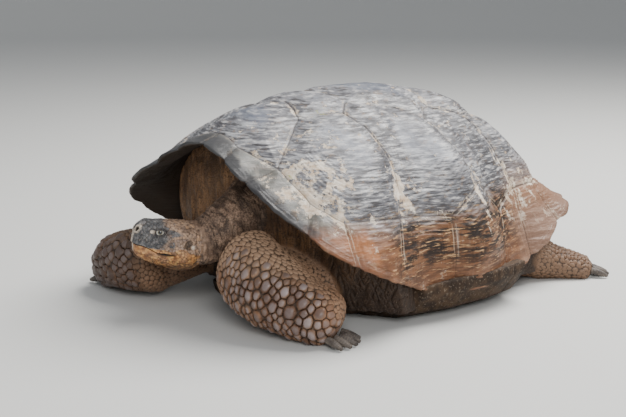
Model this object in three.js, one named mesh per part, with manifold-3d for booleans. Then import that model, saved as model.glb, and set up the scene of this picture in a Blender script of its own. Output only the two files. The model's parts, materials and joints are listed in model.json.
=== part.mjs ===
// A giant tortoise lying at rest, life size, as a still museum model.
// Millimetres, +Z up. The animal faces -Y and its left side is +X.
// The origin is on the floor, under the middle of the flat belly plate.
import * as THREE from 'three';
import { mergeVertices } from 'three/addons/utils/BufferGeometryUtils.js';
import Module from 'manifold-3d';

const wasm = await Module();
wasm.setup();

// ---- Driving dimensions ----------------------------------------------------------

const touchGap = 0.3;                 // between neighbouring pieces

// The upper shell, as spokes that run from its highest point down to the rim.
const shellHeight = 516;
const crownY = 35;                    // the highest point lies a little behind the middle
const shellThickness = 20;
const rimAngles = [0, 22, 45, 68, 90, 120, 150, 180];
const rimReach = [519, 565, 594, 442, 429, 430, 576, 603];
const rimHeight = [426, 337, 193, 85, 66, 70, 193, 157];
const spokeAngles = [0, 45, 90, 135, 180];
const crownSpread = [0.55, 0.504, 0.577, 0.684, 0.665];
const flankSpread = [0.612, 0.733, 1.104, 0.785, 0.704];
const flankLift = [0.777, 0.517, 0.4, 0.227, 0.133];

// The rim's front corner on the right side stands a little higher than on the left.
const rightCorner = { angle: 40, spread: 15, raise: 24 };

// Angles of the seams between the eleven rim plates of one side, 0 in front, 180 behind.
const rimSeams = [0, 10, 18, 35, 46.5, 58, 78, 105, 126, 140, 153, 166, 180];
const rimScallop = [9, 8, 12, 9, 3, 0, 0, 3, 9, 12, 10, 8];
const rimNotch = 0.45;                // degrees from a seam to each plate's edge on the rim

// Shell plates.
const boneDepth = 7;                  // the bare shell lies this far below the plates' mean surface
const plateGroove = 7;                // width of the groove between two plates
const plateEdge = -2;                 // a plate's edge, from that mean surface
const plateRoot = -12;                // a plate's root, sunk in the bare shell
const plateKinds = {
  vertebral: { swell: 11, step: 0.115, rings: [0.38, 0.72] },
  costal: { swell: 11, step: 0.15, rings: [0.4, 0.74] },
  marginal: { swell: 5, step: 0.14, rings: [0.55] },
};

// ---- Small helpers ---------------------------------------------------------------

const degrees = Math.PI / 180;
const vec = (x, y, z) => new THREE.Vector3(x, y, z);
const mix = (a, b, t) => a + (b - a) * t;

// A smooth curve through values at given angles, mirrored about 0 and 180 degrees.
function keyed(angles, values, angle) {
  const last = angles.length - 1;
  let k = 0;
  while (k < last - 1 && angle >= angles[k + 1]) k += 1;
  const slope = (i) => {
    if (i === 0 || i === last) return 0;
    return (values[i + 1] - values[i - 1]) / (angles[i + 1] - angles[i - 1]);
  };
  const width = angles[k + 1] - angles[k];
  const t = (angle - angles[k]) / width;
  const start = values[k] * (2 * t ** 3 - 3 * t ** 2 + 1) + slope(k) * width * (t ** 3 - 2 * t ** 2 + t);
  const end = values[k + 1] * (3 * t ** 2 - 2 * t ** 3) + slope(k + 1) * width * (t ** 3 - t ** 2);
  return start + end;
}

// A closed surface as a manifold solid, and back.
function solid(points, faces) {
  const geometry = new THREE.BufferGeometry();
  geometry.setAttribute('position', new THREE.Float32BufferAttribute(points.flatMap((p) => [p.x, p.y, p.z]), 3));
  geometry.setIndex(faces.flat());
  return solidOf(geometry);
}

function solidOf(geometry) {
  const bare = geometry.clone();
  bare.deleteAttribute('normal');
  bare.deleteAttribute('uv');
  const merged = mergeVertices(bare, 1e-3);
  const mesh = new wasm.Mesh({
    numProp: 3,
    vertProperties: new Float32Array(merged.attributes.position.array),
    triVerts: new Uint32Array(merged.index.array),
  });
  const made = new wasm.Manifold(mesh);
  return made;
}

// Rings of equal count skinned into one closed body, with a pole at each end.
// Seen from the first pole, each ring runs counter-clockwise. From ring turnAt on,
// the squares are split along their other diagonal.
function skinned(rings, firstPole, lastPole, turnAt = Infinity) {
  const count = rings[0].length;
  const points = [firstPole, ...rings.flat(), lastPole];
  const at = (ring, k) => 1 + ring * count + (k % count);
  const faces = [];
  for (let k = 0; k < count; k += 1) {
    faces.push([0, at(0, k), at(0, k + 1)]);
    faces.push([points.length - 1, at(rings.length - 1, k + 1), at(rings.length - 1, k)]);
    for (let ring = 0; ring < rings.length - 1; ring += 1) {
      const [far, near] = ring < turnAt ? [at(ring + 1, k + 1), at(ring, k)] : [at(ring + 1, k), at(ring, k + 1)];
      faces.push([at(ring, k), far, at(ring, k + 1)]);
      faces.push([near, at(ring + 1, k), at(ring + 1, k + 1)]);
    }
  }
  return solid(points, faces);
}

function united(parts) {
  return parts.reduce((whole, part) => whole.add(part));
}

function largestBody(shape) {
  const bodies = shape.decompose();
  return bodies.reduce((best, body) => (body.volume() > best.volume() ? body : best));
}

const group = new THREE.Group();

function addPart(name, shape, color, roughness) {
  const mesh = largestBody(shape).getMesh();
  const geometry = new THREE.BufferGeometry();
  geometry.setAttribute('position', new THREE.BufferAttribute(new Float32Array(mesh.vertProperties), 3));
  geometry.setIndex(new THREE.BufferAttribute(new Uint32Array(mesh.triVerts), 1));
  const node = new THREE.Mesh(geometry, new THREE.MeshStandardMaterial({ color, roughness, metalness: 0 }));
  node.name = name;
  group.add(node);
}

// ---- The shell's surface ---------------------------------------------------------

// How far the free edge of a rim plate bows out between its two seams.
function scallop(angle) {
  let k = 0;
  while (k < rimScallop.length - 1 && angle >= rimSeams[k + 1]) k += 1;
  const t = (angle - rimSeams[k]) / (rimSeams[k + 1] - rimSeams[k]);
  return rimScallop[k] * (4 * t * (1 - t) - 0.5);
}

// A point over the flat disc [left, rear], whose edge at radius 1 is the rim.
function shellSurface(left, rear) {
  const v = Math.hypot(left, rear);
  const turn = Math.atan2(left, -rear);
  const angle = Math.abs(turn) / degrees;
  const reach = keyed(rimAngles, rimReach, angle) + scallop(angle) * Math.max(0, (v - 0.8) / 0.2) ** 2;
  const offCorner = (angle - rightCorner.angle) / rightCorner.spread;
  const raise = left < 0 ? rightCorner.raise * Math.exp(-(offCorner ** 2)) : 0;
  const foot = keyed(rimAngles, rimHeight, angle) + raise;
  const w = 1 - v;
  const crown = 3 * w * w * v;
  const flank = 3 * w * v * v;
  const rim = v ** 3;
  const spread = crown * keyed(spokeAngles, crownSpread, angle) + flank * keyed(spokeAngles, flankSpread, angle);
  const radius = (spread + rim) * reach;
  const flankHeight = mix(foot, shellHeight, keyed(spokeAngles, flankLift, angle));
  const height = (w ** 3 + crown) * shellHeight + flank * flankHeight + rim * foot;
  return vec(radius * Math.sin(turn), crownY - radius * Math.cos(turn), height);
}

// The same point moved out along the surface's normal.
function shellPoint(left, rear, lift) {
  const step = 0.012;
  const across = shellSurface(left + step, rear).sub(shellSurface(left - step, rear));
  const along = shellSurface(left, rear + step).sub(shellSurface(left, rear - step));
  const normal = across.cross(along).normalize();
  return shellSurface(left, rear).addScaledVector(normal, lift);
}

const spokeCount = 36;
const ringRadii = [0.16, 0.32, 0.47, 0.61, 0.74, 0.85, 0.93, 1];

function shellRing(radius, lift) {
  const ring = [];
  for (let k = 0; k < spokeCount; k += 1) {
    const turn = (2 * Math.PI * k) / spokeCount;
    ring.push(shellPoint(radius * Math.sin(turn), -radius * Math.cos(turn), lift));
  }
  return ring;
}

// The bare shell under the plates: an outer and an inner skin joined at the rim.
function shellBase() {
  const depth = -boneDepth - shellThickness;
  const outer = ringRadii.map((radius) => shellRing(radius, -boneDepth));
  const inner = ringRadii.map((radius) => shellRing(radius, depth)).reverse();
  const poles = [shellPoint(0, 0, -boneDepth), shellPoint(0, 0, depth)];
  return skinned([...outer, ...inner], ...poles, ringRadii.length);
}

// All that lies under the shell, down past the floor, clear of its inner skin.
function shellRoom() {
  const lift = -(boneDepth + shellThickness + touchGap);
  const rings = ringRadii.map((radius) => shellRing(radius, lift));
  const skirt = rings[rings.length - 1].map((p) => vec(p.x, p.y, -60));
  return skinned([...rings, skirt], shellPoint(0, 0, lift), vec(0, crownY, -60));
}

// ---- Shell plates ----------------------------------------------------------------

// Corners of the plates on the left half of the disc, [left, rear].
const spine = [-0.905, -0.43, -0.19, 0.1, 0.335, 0.79];
const spineSeam = [[0.165, -0.49], [0.125, -0.185], [0.19, 0.13], [0.146, 0.335]];
const spineSide = [[0.34, -0.785], [0.19, -0.265], [0.285, 0.05], [0.206, 0.245], [0.316, 0.735]];
const frontShoulder = [0.16, -0.9];
const costalSeams = [
  [[0.275, -0.248], [0.366, -0.261], [0.454, -0.273], [0.569, -0.32], [0.645, -0.39]],
  [[0.397, 0.081], [0.464, 0.116], [0.565, 0.13]],
  [[0.33, 0.36], [0.5, 0.47]],
];
// Where each seam between two rim plates meets the plates above it.
const rimTops = [
  [0, spine[0]], frontShoulder, spineSide[0], [0.492, -0.73], [0.585, -0.638], [0.645, -0.39],
  [0.695, -0.116], [0.609, 0.345], [0.5, 0.47], [0.44, 0.61], spineSide[4], [0.15, 0.8], [0, spine[5]],
];
const rimPeak = [0.565, 0.13];        // the seventh rim plate rises to a point between two costals

const mirrored = (corners) => corners.map(([left, rear]) => [-left, rear]).reverse();
const onRim = (angle) => [1.006 * Math.sin(angle * degrees), -1.006 * Math.cos(angle * degrees)];

// A plate's outline with its long sides divided.
function divided(corners, step) {
  const outline = [];
  corners.forEach((corner, k) => {
    const next = corners[(k + 1) % corners.length];
    const count = Math.max(1, Math.round(Math.hypot(next[0] - corner[0], next[1] - corner[1]) / step));
    for (let i = 0; i < count; i += 1) {
      outline.push([mix(corner[0], next[0], i / count), mix(corner[1], next[1], i / count)]);
    }
  });
  return outline;
}

// The outline drawn in by half a groove, except along the rim itself.
function drawnIn(outline, inset) {
  return outline.map((point, k) => {
    if (Math.hypot(...point) > 1) return point;
    const before = outline[(k + outline.length - 1) % outline.length];
    const after = outline[(k + 1) % outline.length];
    const normal = (a, b) => {
      const length = Math.hypot(b[0] - a[0], b[1] - a[1]);
      return [-(b[1] - a[1]) / length, (b[0] - a[0]) / length];
    };
    const n1 = normal(before, point);
    const n2 = normal(point, after);
    const sum = [n1[0] + n2[0], n1[1] + n2[1]];
    const scale = inset / Math.max(0.6, (sum[0] ** 2 + sum[1] ** 2) / 2);
    return [point[0] + sum[0] * scale, point[1] + sum[1] * scale];
  });
}

// One plate: a low swelling on the shell with its root sunk in.
function plate(corners, { swell, step, rings }) {
  const outline = drawnIn(divided(corners, step), plateGroove / 2 / rimReach[4]);
  const count = outline.length;
  const middle = outline.reduce((sum, p) => [sum[0] + p[0] / count, sum[1] + p[1] / count], [0, 0]);
  const ring = (size, lift) => outline.map(([left, rear]) => (
    shellPoint(mix(middle[0], left, size), mix(middle[1], rear, size), lift)));
  const top = [...rings, 1].map((size) => ring(size, plateEdge + swell * (1 - size ** 3)));
  const root = [1, ...[...rings].reverse()].map((size) => ring(size, plateRoot));
  return skinned([...top, ...root], shellPoint(...middle, plateEdge + swell), shellPoint(...middle, plateRoot));
}

// Every plate's corners, counter-clockwise on the disc, with its kind.
function shellPlates() {
  const plates = [];
  for (let k = 0; k < 5; k += 1) {
    const half = [];
    if (k > 0) half.push(spineSeam[k - 1]);
    if (k === 0) half.push(frontShoulder);
    half.push(spineSide[k]);
    if (k < 4) half.push(spineSeam[k]);
    if (k === 4) half.push(rimTops[11]);
    plates.push(['vertebral', [[0, spine[k]], ...half, [0, spine[k + 1]], ...mirrored(half)]]);
  }
  const [seam12, seam23, seam34] = costalSeams;
  const costals = [
    [spineSeam[0], spineSide[0], rimTops[3], rimTops[4], ...[...seam12].reverse(), spineSide[1]],
    [spineSide[1], ...seam12, rimTops[6], ...[...seam23].reverse(), spineSide[2], spineSeam[1]],
    [spineSide[2], ...seam23, rimTops[7], ...[...seam34].reverse(), spineSide[3], spineSeam[2]],
    [spineSide[3], ...seam34, rimTops[9], spineSide[4], spineSeam[3]],
  ];
  const both = [...costals.map((corners) => ['costal', corners])];
  for (let k = 0; k < 11; k += 1) {
    const peak = k === 6 ? [rimPeak] : [];
    const upper = [rimTops[k + 1], ...peak, rimTops[k]];
    const [start, end] = [rimSeams[k] + rimNotch, rimSeams[k + 1] - rimNotch];
    both.push(['marginal', [onRim(start), onRim((start + end) / 2), onRim(end), ...upper]]);
  }
  both.forEach(([kind, corners]) => {
    plates.push([kind, corners]);
    plates.push([kind, mirrored(corners)]);
  });
  const tailEdge = rimSeams[11] + rimNotch;
  const tailCorners = [onRim(tailEdge), onRim(173), onRim(180), onRim(187), onRim(360 - tailEdge)];
  plates.push(['marginal', [...tailCorners, [-rimTops[11][0], rimTops[11][1]], rimTops[12], rimTops[11]]]);
  return plates;
}

function carapace() {
  const plates = shellPlates().map(([kind, corners]) => plate(corners, plateKinds[kind]));
  return united([shellBase(), ...plates]);
}

// ---- Belly plate -----------------------------------------------------------------

// Half widths from front to rear: of the flat, and of the bridge that climbs to the rim.
const bellyThickness = 30;
const bellyLip = 26;                  // thickness of the bridge's upper edge
const bellyStations = [
  { y: -345, flat: 92, wing: 112, rise: 30 },
  { y: -325, flat: 150, wing: 172, rise: 30 },
  { y: -260, flat: 185, wing: 214, rise: 30 },
  { y: -205, flat: 215, wing: 262, rise: 31 },
  { y: -150, flat: 318, wing: 412, rise: 96 },
  { y: -40, flat: 345, wing: 436, rise: 104 },
  { y: 90, flat: 350, wing: 440, rise: 104 },
  { y: 200, flat: 328, wing: 424, rise: 104 },
  { y: 262, flat: 225, wing: 275, rise: 31 },
  { y: 330, flat: 196, wing: 222, rise: 30 },
  { y: 400, flat: 160, wing: 182, rise: 30 },
  { y: 425, flat: 95, wing: 115, rise: 30 },
];

// One side of the belly plate's section, from the middle of the flat out and back in.
function bellyRing({ y, flat, wing, rise }, grow) {
  const lip = wing - bellyLip;
  const inside = bellyThickness + grow;
  const side = [
    [flat, -grow], [mix(flat, wing, 0.55) + grow, rise * 0.22], [wing + grow, rise * 0.75],
    [wing + grow, rise + grow], [lip - grow, rise + grow], [Math.min(mix(flat, lip, 0.5), lip - 15), inside],
  ];
  const left = side.map(([x, z]) => vec(x, y, z));
  const right = side.map(([x, z]) => vec(-x, y, z)).reverse();
  return [...left, ...right];
}

function bellyPlate(grow = 0) {
  const rings = bellyStations.map((station) => bellyRing(station, grow));
  rings[0].forEach((p) => p.setY(p.y - grow));
  rings[rings.length - 1].forEach((p) => p.setY(p.y + grow));
  const pole = (ring) => vec(0, ring[0].y, bellyThickness / 2);
  return skinned(rings, pole(rings[0]), pole(rings[rings.length - 1]));
}

// ---- Limbs, neck and trunk -------------------------------------------------------

// The line through a limb's stations, and its half widths and half heights.
function limbLine(stations) {
  return {
    path: new THREE.CatmullRomCurve3(stations.map(({ at }) => vec(...at)), false, 'centripetal'),
    sizes: new THREE.CatmullRomCurve3(stations.map(({ wide, high }) => vec(wide, high, 0)), false, 'catmullrom'),
  };
}

// A section of the limb at t, square to its line, with its height near the vertical.
function limbSection({ path, sizes }, t) {
  const centre = path.getPoint(t);
  const along = path.getTangent(t);
  const across = vec(0, 0, 1).cross(along).normalize();
  const up = along.clone().cross(across);
  const { x: wide, y: high } = sizes.getPoint(t);
  return { centre, along, across, up, wide, high };
}

// A smooth round body along stations of place, half width and half height.
function flesh(stations, sides, steps, grow = 0, roundness = [0.6, 0.6]) {
  const line = limbLine(stations);
  const section = (t, size, push) => {
    const { centre, along, across, up, wide, high } = limbSection(line, t);
    centre.addScaledVector(along, push * (Math.min(wide, high) + grow));
    const ring = [];
    for (let k = 0; k < sides; k += 1) {
      const turn = (2 * Math.PI * k) / sides;
      const point = centre.clone();
      point.addScaledVector(across, size * (wide + grow) * Math.cos(turn));
      point.addScaledVector(up, size * (high + grow) * Math.sin(turn));
      ring.push(point);
    }
    return { ring, centre };
  };
  const rings = [];
  const capTurns = [30, 60].map((angle) => angle * degrees);
  [...capTurns].reverse().forEach((a) => rings.push(section(0, Math.cos(a), -roundness[0] * Math.sin(a)).ring));
  for (let k = 0; k <= steps; k += 1) rings.push(section(k / steps, 1, 0).ring);
  capTurns.forEach((a) => rings.push(section(1, Math.cos(a), roundness[1] * Math.sin(a)).ring));
  const startPole = section(0, 1, -roundness[0]).centre;
  return skinned(rings.reverse(), section(1, 1, roundness[1]).centre, startPole);
}

const floorBlock = solidOf(new THREE.BoxGeometry(3000, 3000, 200).translate(0, 0, -100));
const onFloor = (shape) => shape.subtract(floorBlock);

// side is 1 for the left and -1 for the right.
const sided = (stations, side) => stations.map(({ at, ...size }) => ({ at: [side * at[0], at[1], at[2]], ...size }));

// The forearm lies out along the floor from the elbow, in front of the shell's mouth.
const foreArms = {
  left: {
    upper: [
      { at: [225, -235, 105], wide: 66, high: 58 },
      { at: [185, -345, 104], wide: 76, high: 62 },
      { at: [140, -430, 120], wide: 84, high: 88 },
    ],
    lower: [
      { at: [128, -448, 138], wide: 80, high: 97 },
      { at: [205, -460, 114], wide: 79, high: 90 },
      { at: [285, -438, 84], wide: 73, high: 78 },
      { at: [350, -408, 58], wide: 62, high: 62 },
    ],
  },
  right: {
    upper: [
      { at: [-225, -235, 110], wide: 66, high: 58 },
      { at: [-232, -350, 100], wide: 76, high: 64 },
      { at: [-225, -445, 100], wide: 78, high: 76 },
    ],
    lower: [
      { at: [-215, -470, 98], wide: 78, high: 80 },
      { at: [-280, -490, 92], wide: 78, high: 78 },
      { at: [-345, -485, 76], wide: 72, high: 70 },
      { at: [-388, -475, 52], wide: 62, high: 60 },
    ],
  },
};

const hindLegs = {
  upper: [
    { at: [165, 250, 110], wide: 80, high: 62 },
    { at: [235, 350, 78], wide: 84, high: 62 },
    { at: [290, 430, 48], wide: 72, high: 54 },
  ],
  lower: [
    { at: [285, 425, 46], wide: 68, high: 52 },
    { at: [330, 482, 30], wide: 58, high: 40 },
    { at: [366, 520, 18], wide: 52, high: 32 },
  ],
};

const tailStations = [
  { at: [0, 400, 95], wide: 40, high: 36 },
  { at: [4, 480, 66], wide: 34, high: 30 },
  { at: [14, 540, 31], wide: 22, high: 19 },
  { at: [24, 575, 9], wide: 12, high: 11 },
];

const neckStations = [
  { at: [20, -240, 238], wide: 84, high: 88 },
  { at: [14, -320, 250], wide: 74, high: 78 },
  { at: [4, -390, 228], wide: 62, high: 65 },
  { at: [-8, -440, 192], wide: 57, high: 60 },
  { at: [-22, -480, 176], wide: 52, high: 54 },
];

// All at one level, so that the trunk's sections stand upright.
const trunkLevel = 240;
const trunkStations = [
  { at: [0, -352, trunkLevel], wide: 150, high: 130 },
  { at: [0, -340, trunkLevel], wide: 240, high: 200 },
  { at: [0, -305, trunkLevel], wide: 335, high: 270 },
  { at: [0, -230, trunkLevel], wide: 420, high: 340 },
  { at: [0, -60, trunkLevel], wide: 640, high: 520 },
  { at: [0, 230, trunkLevel], wide: 640, high: 520 },
  { at: [0, 380, trunkLevel], wide: 360, high: 330 },
  { at: [0, 440, trunkLevel], wide: 260, high: 225 },
  { at: [0, 465, trunkLevel], wide: 170, high: 140 },
];

// ---- Head ------------------------------------------------------------------------

// In its own frame the head looks along -Y from its middle.
const headAt = [-57, -543, 187];
const headTurn = -24 * degrees;       // towards the animal's right
const headTilt = -9 * degrees;        // nose up
const headStations = [
  { y: -86, wide: 20, top: 27, bottom: -22 },
  { y: -78, wide: 31, top: 35, bottom: -36 },
  { y: -60, wide: 40, top: 43, bottom: -48 },
  { y: -35, wide: 46, top: 48, bottom: -56 },
  { y: -5, wide: 54, top: 49, bottom: -64 },
  { y: 25, wide: 60, top: 48, bottom: -69 },
  { y: 55, wide: 57, top: 45, bottom: -66 },
  { y: 80, wide: 48, top: 38, bottom: -50 },
];
const headSides = 18;
const headRings = 12;
const beakPoint = [0, -90, 3];
const nape = [0, 96, -8];

const eyeSpot = { at: [34, -30, 25], radius: 14 };
const lid = { reach: 15.5, thick: 4.5, open: 0.72, out: 7 };
const nostril = { at: [8, -86, 19], radius: 3.4, depth: 12 };
const mouthLine = [[-110, -13], [-84, -13], [-55, -21], [-25, -24], [6, -17]];
const mouthGap = 2.6;
const mouthDepth = 8;

function placeHead(shape) {
  const place = new THREE.Matrix4().makeTranslation(...headAt);
  place.multiply(new THREE.Matrix4().makeRotationZ(headTurn));
  place.multiply(new THREE.Matrix4().makeRotationX(headTilt));
  return shape.transform(place.elements);
}

// A ring of the head's section: fuller below the widest level than above it.
function headRing({ y, wide, top, bottom }, grow) {
  const ring = [];
  for (let k = 0; k < headSides; k += 1) {
    const turn = (2 * Math.PI * k) / headSides;
    const c = Math.cos(turn);
    const s = Math.sin(turn);
    const x = Math.sign(c) * Math.abs(c) ** 0.85 * (wide + grow);
    const z = Math.sign(s) * Math.abs(s) ** 0.85 * ((s > 0 ? top : -bottom) + grow);
    ring.push(vec(x, y, z));
  }
  return ring;
}

function headShape(grow = 0) {
  const along = (key) => headStations.map((station) => vec(station[key], 0, 0));
  const curves = {};
  ['y', 'wide', 'top', 'bottom'].forEach((key) => {
    curves[key] = new THREE.CatmullRomCurve3(along(key), false, 'catmullrom');
  });
  const rings = [];
  for (let k = 0; k <= headRings; k += 1) {
    const station = {};
    Object.keys(curves).forEach((key) => {
      station[key] = curves[key].getPoint(k / headRings).x;
    });
    rings.push(headRing(station, grow));
  }
  rings[0].forEach((p) => p.setY(p.y - grow));
  rings[headRings].forEach((p) => p.setY(p.y + grow));
  return skinned(rings, vec(beakPoint[0], beakPoint[1] - grow, beakPoint[2]), vec(nape[0], nape[1] + grow, nape[2]));
}

function ball([x, y, z], radius, detail) {
  return solidOf(new THREE.SphereGeometry(radius, detail, detail / 2).rotateX(Math.PI / 2).translate(x, y, z));
}

// The lids round one eye, a fold that is wider than it is high.
function lids(side) {
  const fold = new THREE.TorusGeometry(lid.reach, lid.thick, 6, 14);
  fold.scale(1, lid.open, 1).rotateY((side * Math.PI) / 2);
  fold.rotateZ(side * 14 * degrees);
  const [x, y, z] = eyeSpot.at;
  return solidOf(fold.translate(side * (x + lid.out), y, z));
}

// A thin slit round both jaws, cut in from the skin only as deep as the lips.
function mouthSlit() {
  const upper = mouthLine.map(([y, z]) => new THREE.Vector2(y, z + mouthGap / 2));
  const lower = mouthLine.map(([y, z]) => new THREE.Vector2(y, z - mouthGap / 2)).reverse();
  const slab = new THREE.ExtrudeGeometry(new THREE.Shape([...lower, ...upper]), { depth: 200, bevelEnabled: false });
  slab.translate(0, 0, -100);
  slab.applyMatrix4(new THREE.Matrix4().makeBasis(vec(0, 1, 0), vec(0, 0, 1), vec(1, 0, 0)));
  return solidOf(slab).subtract(headShape(-mouthDepth));
}

function nostrilHole(side) {
  const hole = new THREE.CylinderGeometry(nostril.radius, nostril.radius, nostril.depth, 8);
  hole.rotateZ(-side * 30 * degrees);
  const [x, y, z] = nostril.at;
  return solidOf(hole.translate(side * x, y, z));
}

function head() {
  const [x, y, z] = eyeSpot.at;
  const skull = united([headShape(), lids(1), lids(-1)]);
  const cuts = [1, -1].flatMap((side) => [
    ball([side * x, y, z], eyeSpot.radius + touchGap, 12), nostrilHole(side)]);
  return placeHead(skull.subtract(united([...cuts, mouthSlit()])));
}

const eyeball = (side) => {
  const [x, y, z] = eyeSpot.at;
  return placeHead(ball([side * x, y, z], eyeSpot.radius, 12));
};

// ---- Scutes of the forearms ------------------------------------------------------

// Rows run round the forearm from its upper front edge to below, columns along it.
const scutes = {
  left: { turns: [122, 236], rows: 5, along: [0.06, 1], columns: 6 },
  right: { turns: [58, -50], rows: 4, along: [0.14, 1], columns: 5 },
};
const scuteSize = { least: 14, most: 22, rise: 0.3, root: 5, sides: 6 };

const varied = (index) => Math.abs(Math.sin(index * 12.9898) * 43758.5453) % 1;

// One scute: a low blunt dome on the skin, with its root sunk in.
function scute(line, t, turn, radius, spin) {
  const { centre, along, across, up, wide, high } = limbSection(line, t);
  const place = centre.clone();
  place.addScaledVector(across, wide * Math.cos(turn)).addScaledVector(up, high * Math.sin(turn));
  const out = across.clone().multiplyScalar(Math.cos(turn) / wide);
  out.addScaledVector(up, Math.sin(turn) / high).normalize();
  const side = out.clone().cross(along).normalize();
  const ring = (size, lift) => {
    const points = [];
    for (let k = 0; k < scuteSize.sides; k += 1) {
      const a = spin + (2 * Math.PI * k) / scuteSize.sides;
      const point = place.clone().addScaledVector(out, lift);
      point.addScaledVector(along, size * radius * Math.cos(a));
      point.addScaledVector(side, size * radius * Math.sin(a));
      points.push(point);
    }
    return points;
  };
  const rise = scuteSize.rise * radius;
  const pole = (lift) => place.clone().addScaledVector(out, lift);
  return skinned([ring(0.7, rise * 0.8), ring(1, -scuteSize.root)], pole(rise), pole(-scuteSize.root - 1));
}

function foreScutes(name) {
  const { turns, rows, along, columns } = scutes[name];
  const line = limbLine(foreArms[name].lower);
  const made = [];
  for (let row = 0; row < rows; row += 1) {
    for (let column = 0; column < columns; column += 1) {
      const index = row * columns + column + 1;
      const stagger = (row % 2) / 2;
      const t = mix(...along, (column + stagger + 0.3 * (varied(index) - 0.5)) / (columns - 0.5));
      const turn = mix(...turns, (row + 0.25 * (varied(index + 100) - 0.5)) / (rows - 1)) * degrees;
      const middling = Math.sin((Math.PI * (row + 1.2)) / (rows + 1.4)) * (0.75 + 0.25 * varied(index + 200));
      const radius = mix(scuteSize.least, scuteSize.most, middling);
      made.push(scute(line, Math.min(t, 1), turn, radius, varied(index + 300)));
    }
  }
  return united(made);
}

// ---- Limb shapes -----------------------------------------------------------------

const foreLimb = (name, grow = 0) => {
  const { upper, lower } = foreArms[name];
  return onFloor(flesh(upper, 12, 3, grow).add(flesh(lower, 16, 7, grow)));
};
const hindLimb = (side, grow = 0) => {
  const upper = flesh(sided(hindLegs.upper, side), 12, 4, grow);
  return onFloor(upper.add(flesh(sided(hindLegs.lower, side), 14, 5, grow)));
};
const neckShape = (grow = 0) => flesh(neckStations, 16, 8, grow);
const tailShape = (grow = 0) => onFloor(flesh(tailStations, 10, 6, grow));

// Blunt claws in a row round the front edge of a foot, the outer ones set back.
const claws = { length: 26, thick: 9, lift: 14, pitch: 21, fan: 8 * degrees };
const feet = {
  foreleg_left: { at: [350, -408], heading: 22 * degrees, reach: 58, count: 5 },
  foreleg_right: { at: [-388, -475], heading: 172 * degrees, reach: 58, count: 5 },
  hindleg_left: { at: [366, 520], heading: 50 * degrees, reach: 48, count: 4 },
  hindleg_right: { at: [-366, 520], heading: 130 * degrees, reach: 48, count: 4 },
};

function claw({ at, heading, reach, count }, index, grow = 0) {
  const place = index - (count - 1) / 2;
  const offset = place * claws.pitch;
  const ahead = reach - offset ** 2 / (2.2 * reach);
  const root = [
    at[0] + ahead * Math.cos(heading) - offset * Math.sin(heading),
    at[1] + ahead * Math.sin(heading) + offset * Math.cos(heading),
  ];
  const angle = heading + place * claws.fan;
  const spot = (distance, z) => [root[0] + distance * Math.cos(angle), root[1] + distance * Math.sin(angle), z];
  const stations = [
    { at: spot(-22, claws.lift + 6), wide: claws.thick, high: claws.thick * 0.9 },
    { at: spot(0, claws.lift), wide: claws.thick, high: claws.thick * 0.9 },
    { at: spot(claws.length - 8, claws.lift - 6), wide: claws.thick * 0.5, high: claws.thick * 0.5 },
  ];
  return onFloor(flesh(stations, 5, 2, grow, [0.3, 0.9]));
}

// ---- Assembly --------------------------------------------------------------------

const skinBrown = 0x6b4a35;
const room = shellRoom();
const limbsGrown = united([
  foreLimb('left', touchGap), foreLimb('right', touchGap), hindLimb(1, touchGap), hindLimb(-1, touchGap),
  neckShape(touchGap), tailShape(touchGap),
]);
const trunkFloor = solidOf(new THREE.BoxGeometry(3000, 3000, 400).translate(0, 0, bellyThickness + touchGap - 200));
const trunk = flesh(trunkStations, 18, 10, 0, [0.08, 0.08]).intersect(room);
const torso = trunk.subtract(united([trunkFloor, bellyPlate(touchGap), limbsGrown]));
const foreGrown = foreLimb('left', touchGap).add(foreLimb('right', touchGap));
const headGrown = placeHead(headShape(touchGap));

function leg(name, shape) {
  const foot = feet[name];
  const indices = [...Array(foot.count).keys()];
  const grown = united(indices.map((index) => claw(foot, index, touchGap)));
  addPart(name, shape.subtract(grown), skinBrown, 0.8);
  indices.forEach((index) => addPart(`claw_${name}_${index + 1}`, claw(foot, index), 0x3d3733, 0.5));
}

addPart('carapace', carapace(), 0x5f6672, 0.45);
addPart('plastron', bellyPlate().intersect(room).subtract(limbsGrown), 0x4a3528, 0.6);
addPart('torso', torso, skinBrown, 0.85);
addPart('neck', neckShape().subtract(foreGrown).subtract(headGrown), skinBrown, 0.85);
addPart('head', head(), 0x57504c, 0.7);
addPart('eye_left', eyeball(1), 0x16110f, 0.1);
addPart('eye_right', eyeball(-1), 0x16110f, 0.1);
leg('foreleg_left', onFloor(foreLimb('left').add(foreScutes('left'))));
leg('foreleg_right', onFloor(foreLimb('right').add(foreScutes('right'))));
leg('hindleg_left', hindLimb(1));
leg('hindleg_right', hindLimb(-1));
addPart('tail', tailShape(), skinBrown, 0.85);

export default group;
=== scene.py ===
# %% [markdown]
# # A giant tortoise at rest, as a life-size museum model
# The frame is a imported model of the whole animal in plain solids. Everything made
# here is fitted over those solids, in the same metres: a horn shell with its plates
# and growth rings, one continuous skin over trunk, neck, head, legs and tail, the
# eyes, the claws and the belly plate. We start by loading the frame.

# %% Load the frame
import json
import math

import bmesh
import bpy
import numpy as np
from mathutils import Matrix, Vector
from mathutils.kdtree import KDTree

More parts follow.
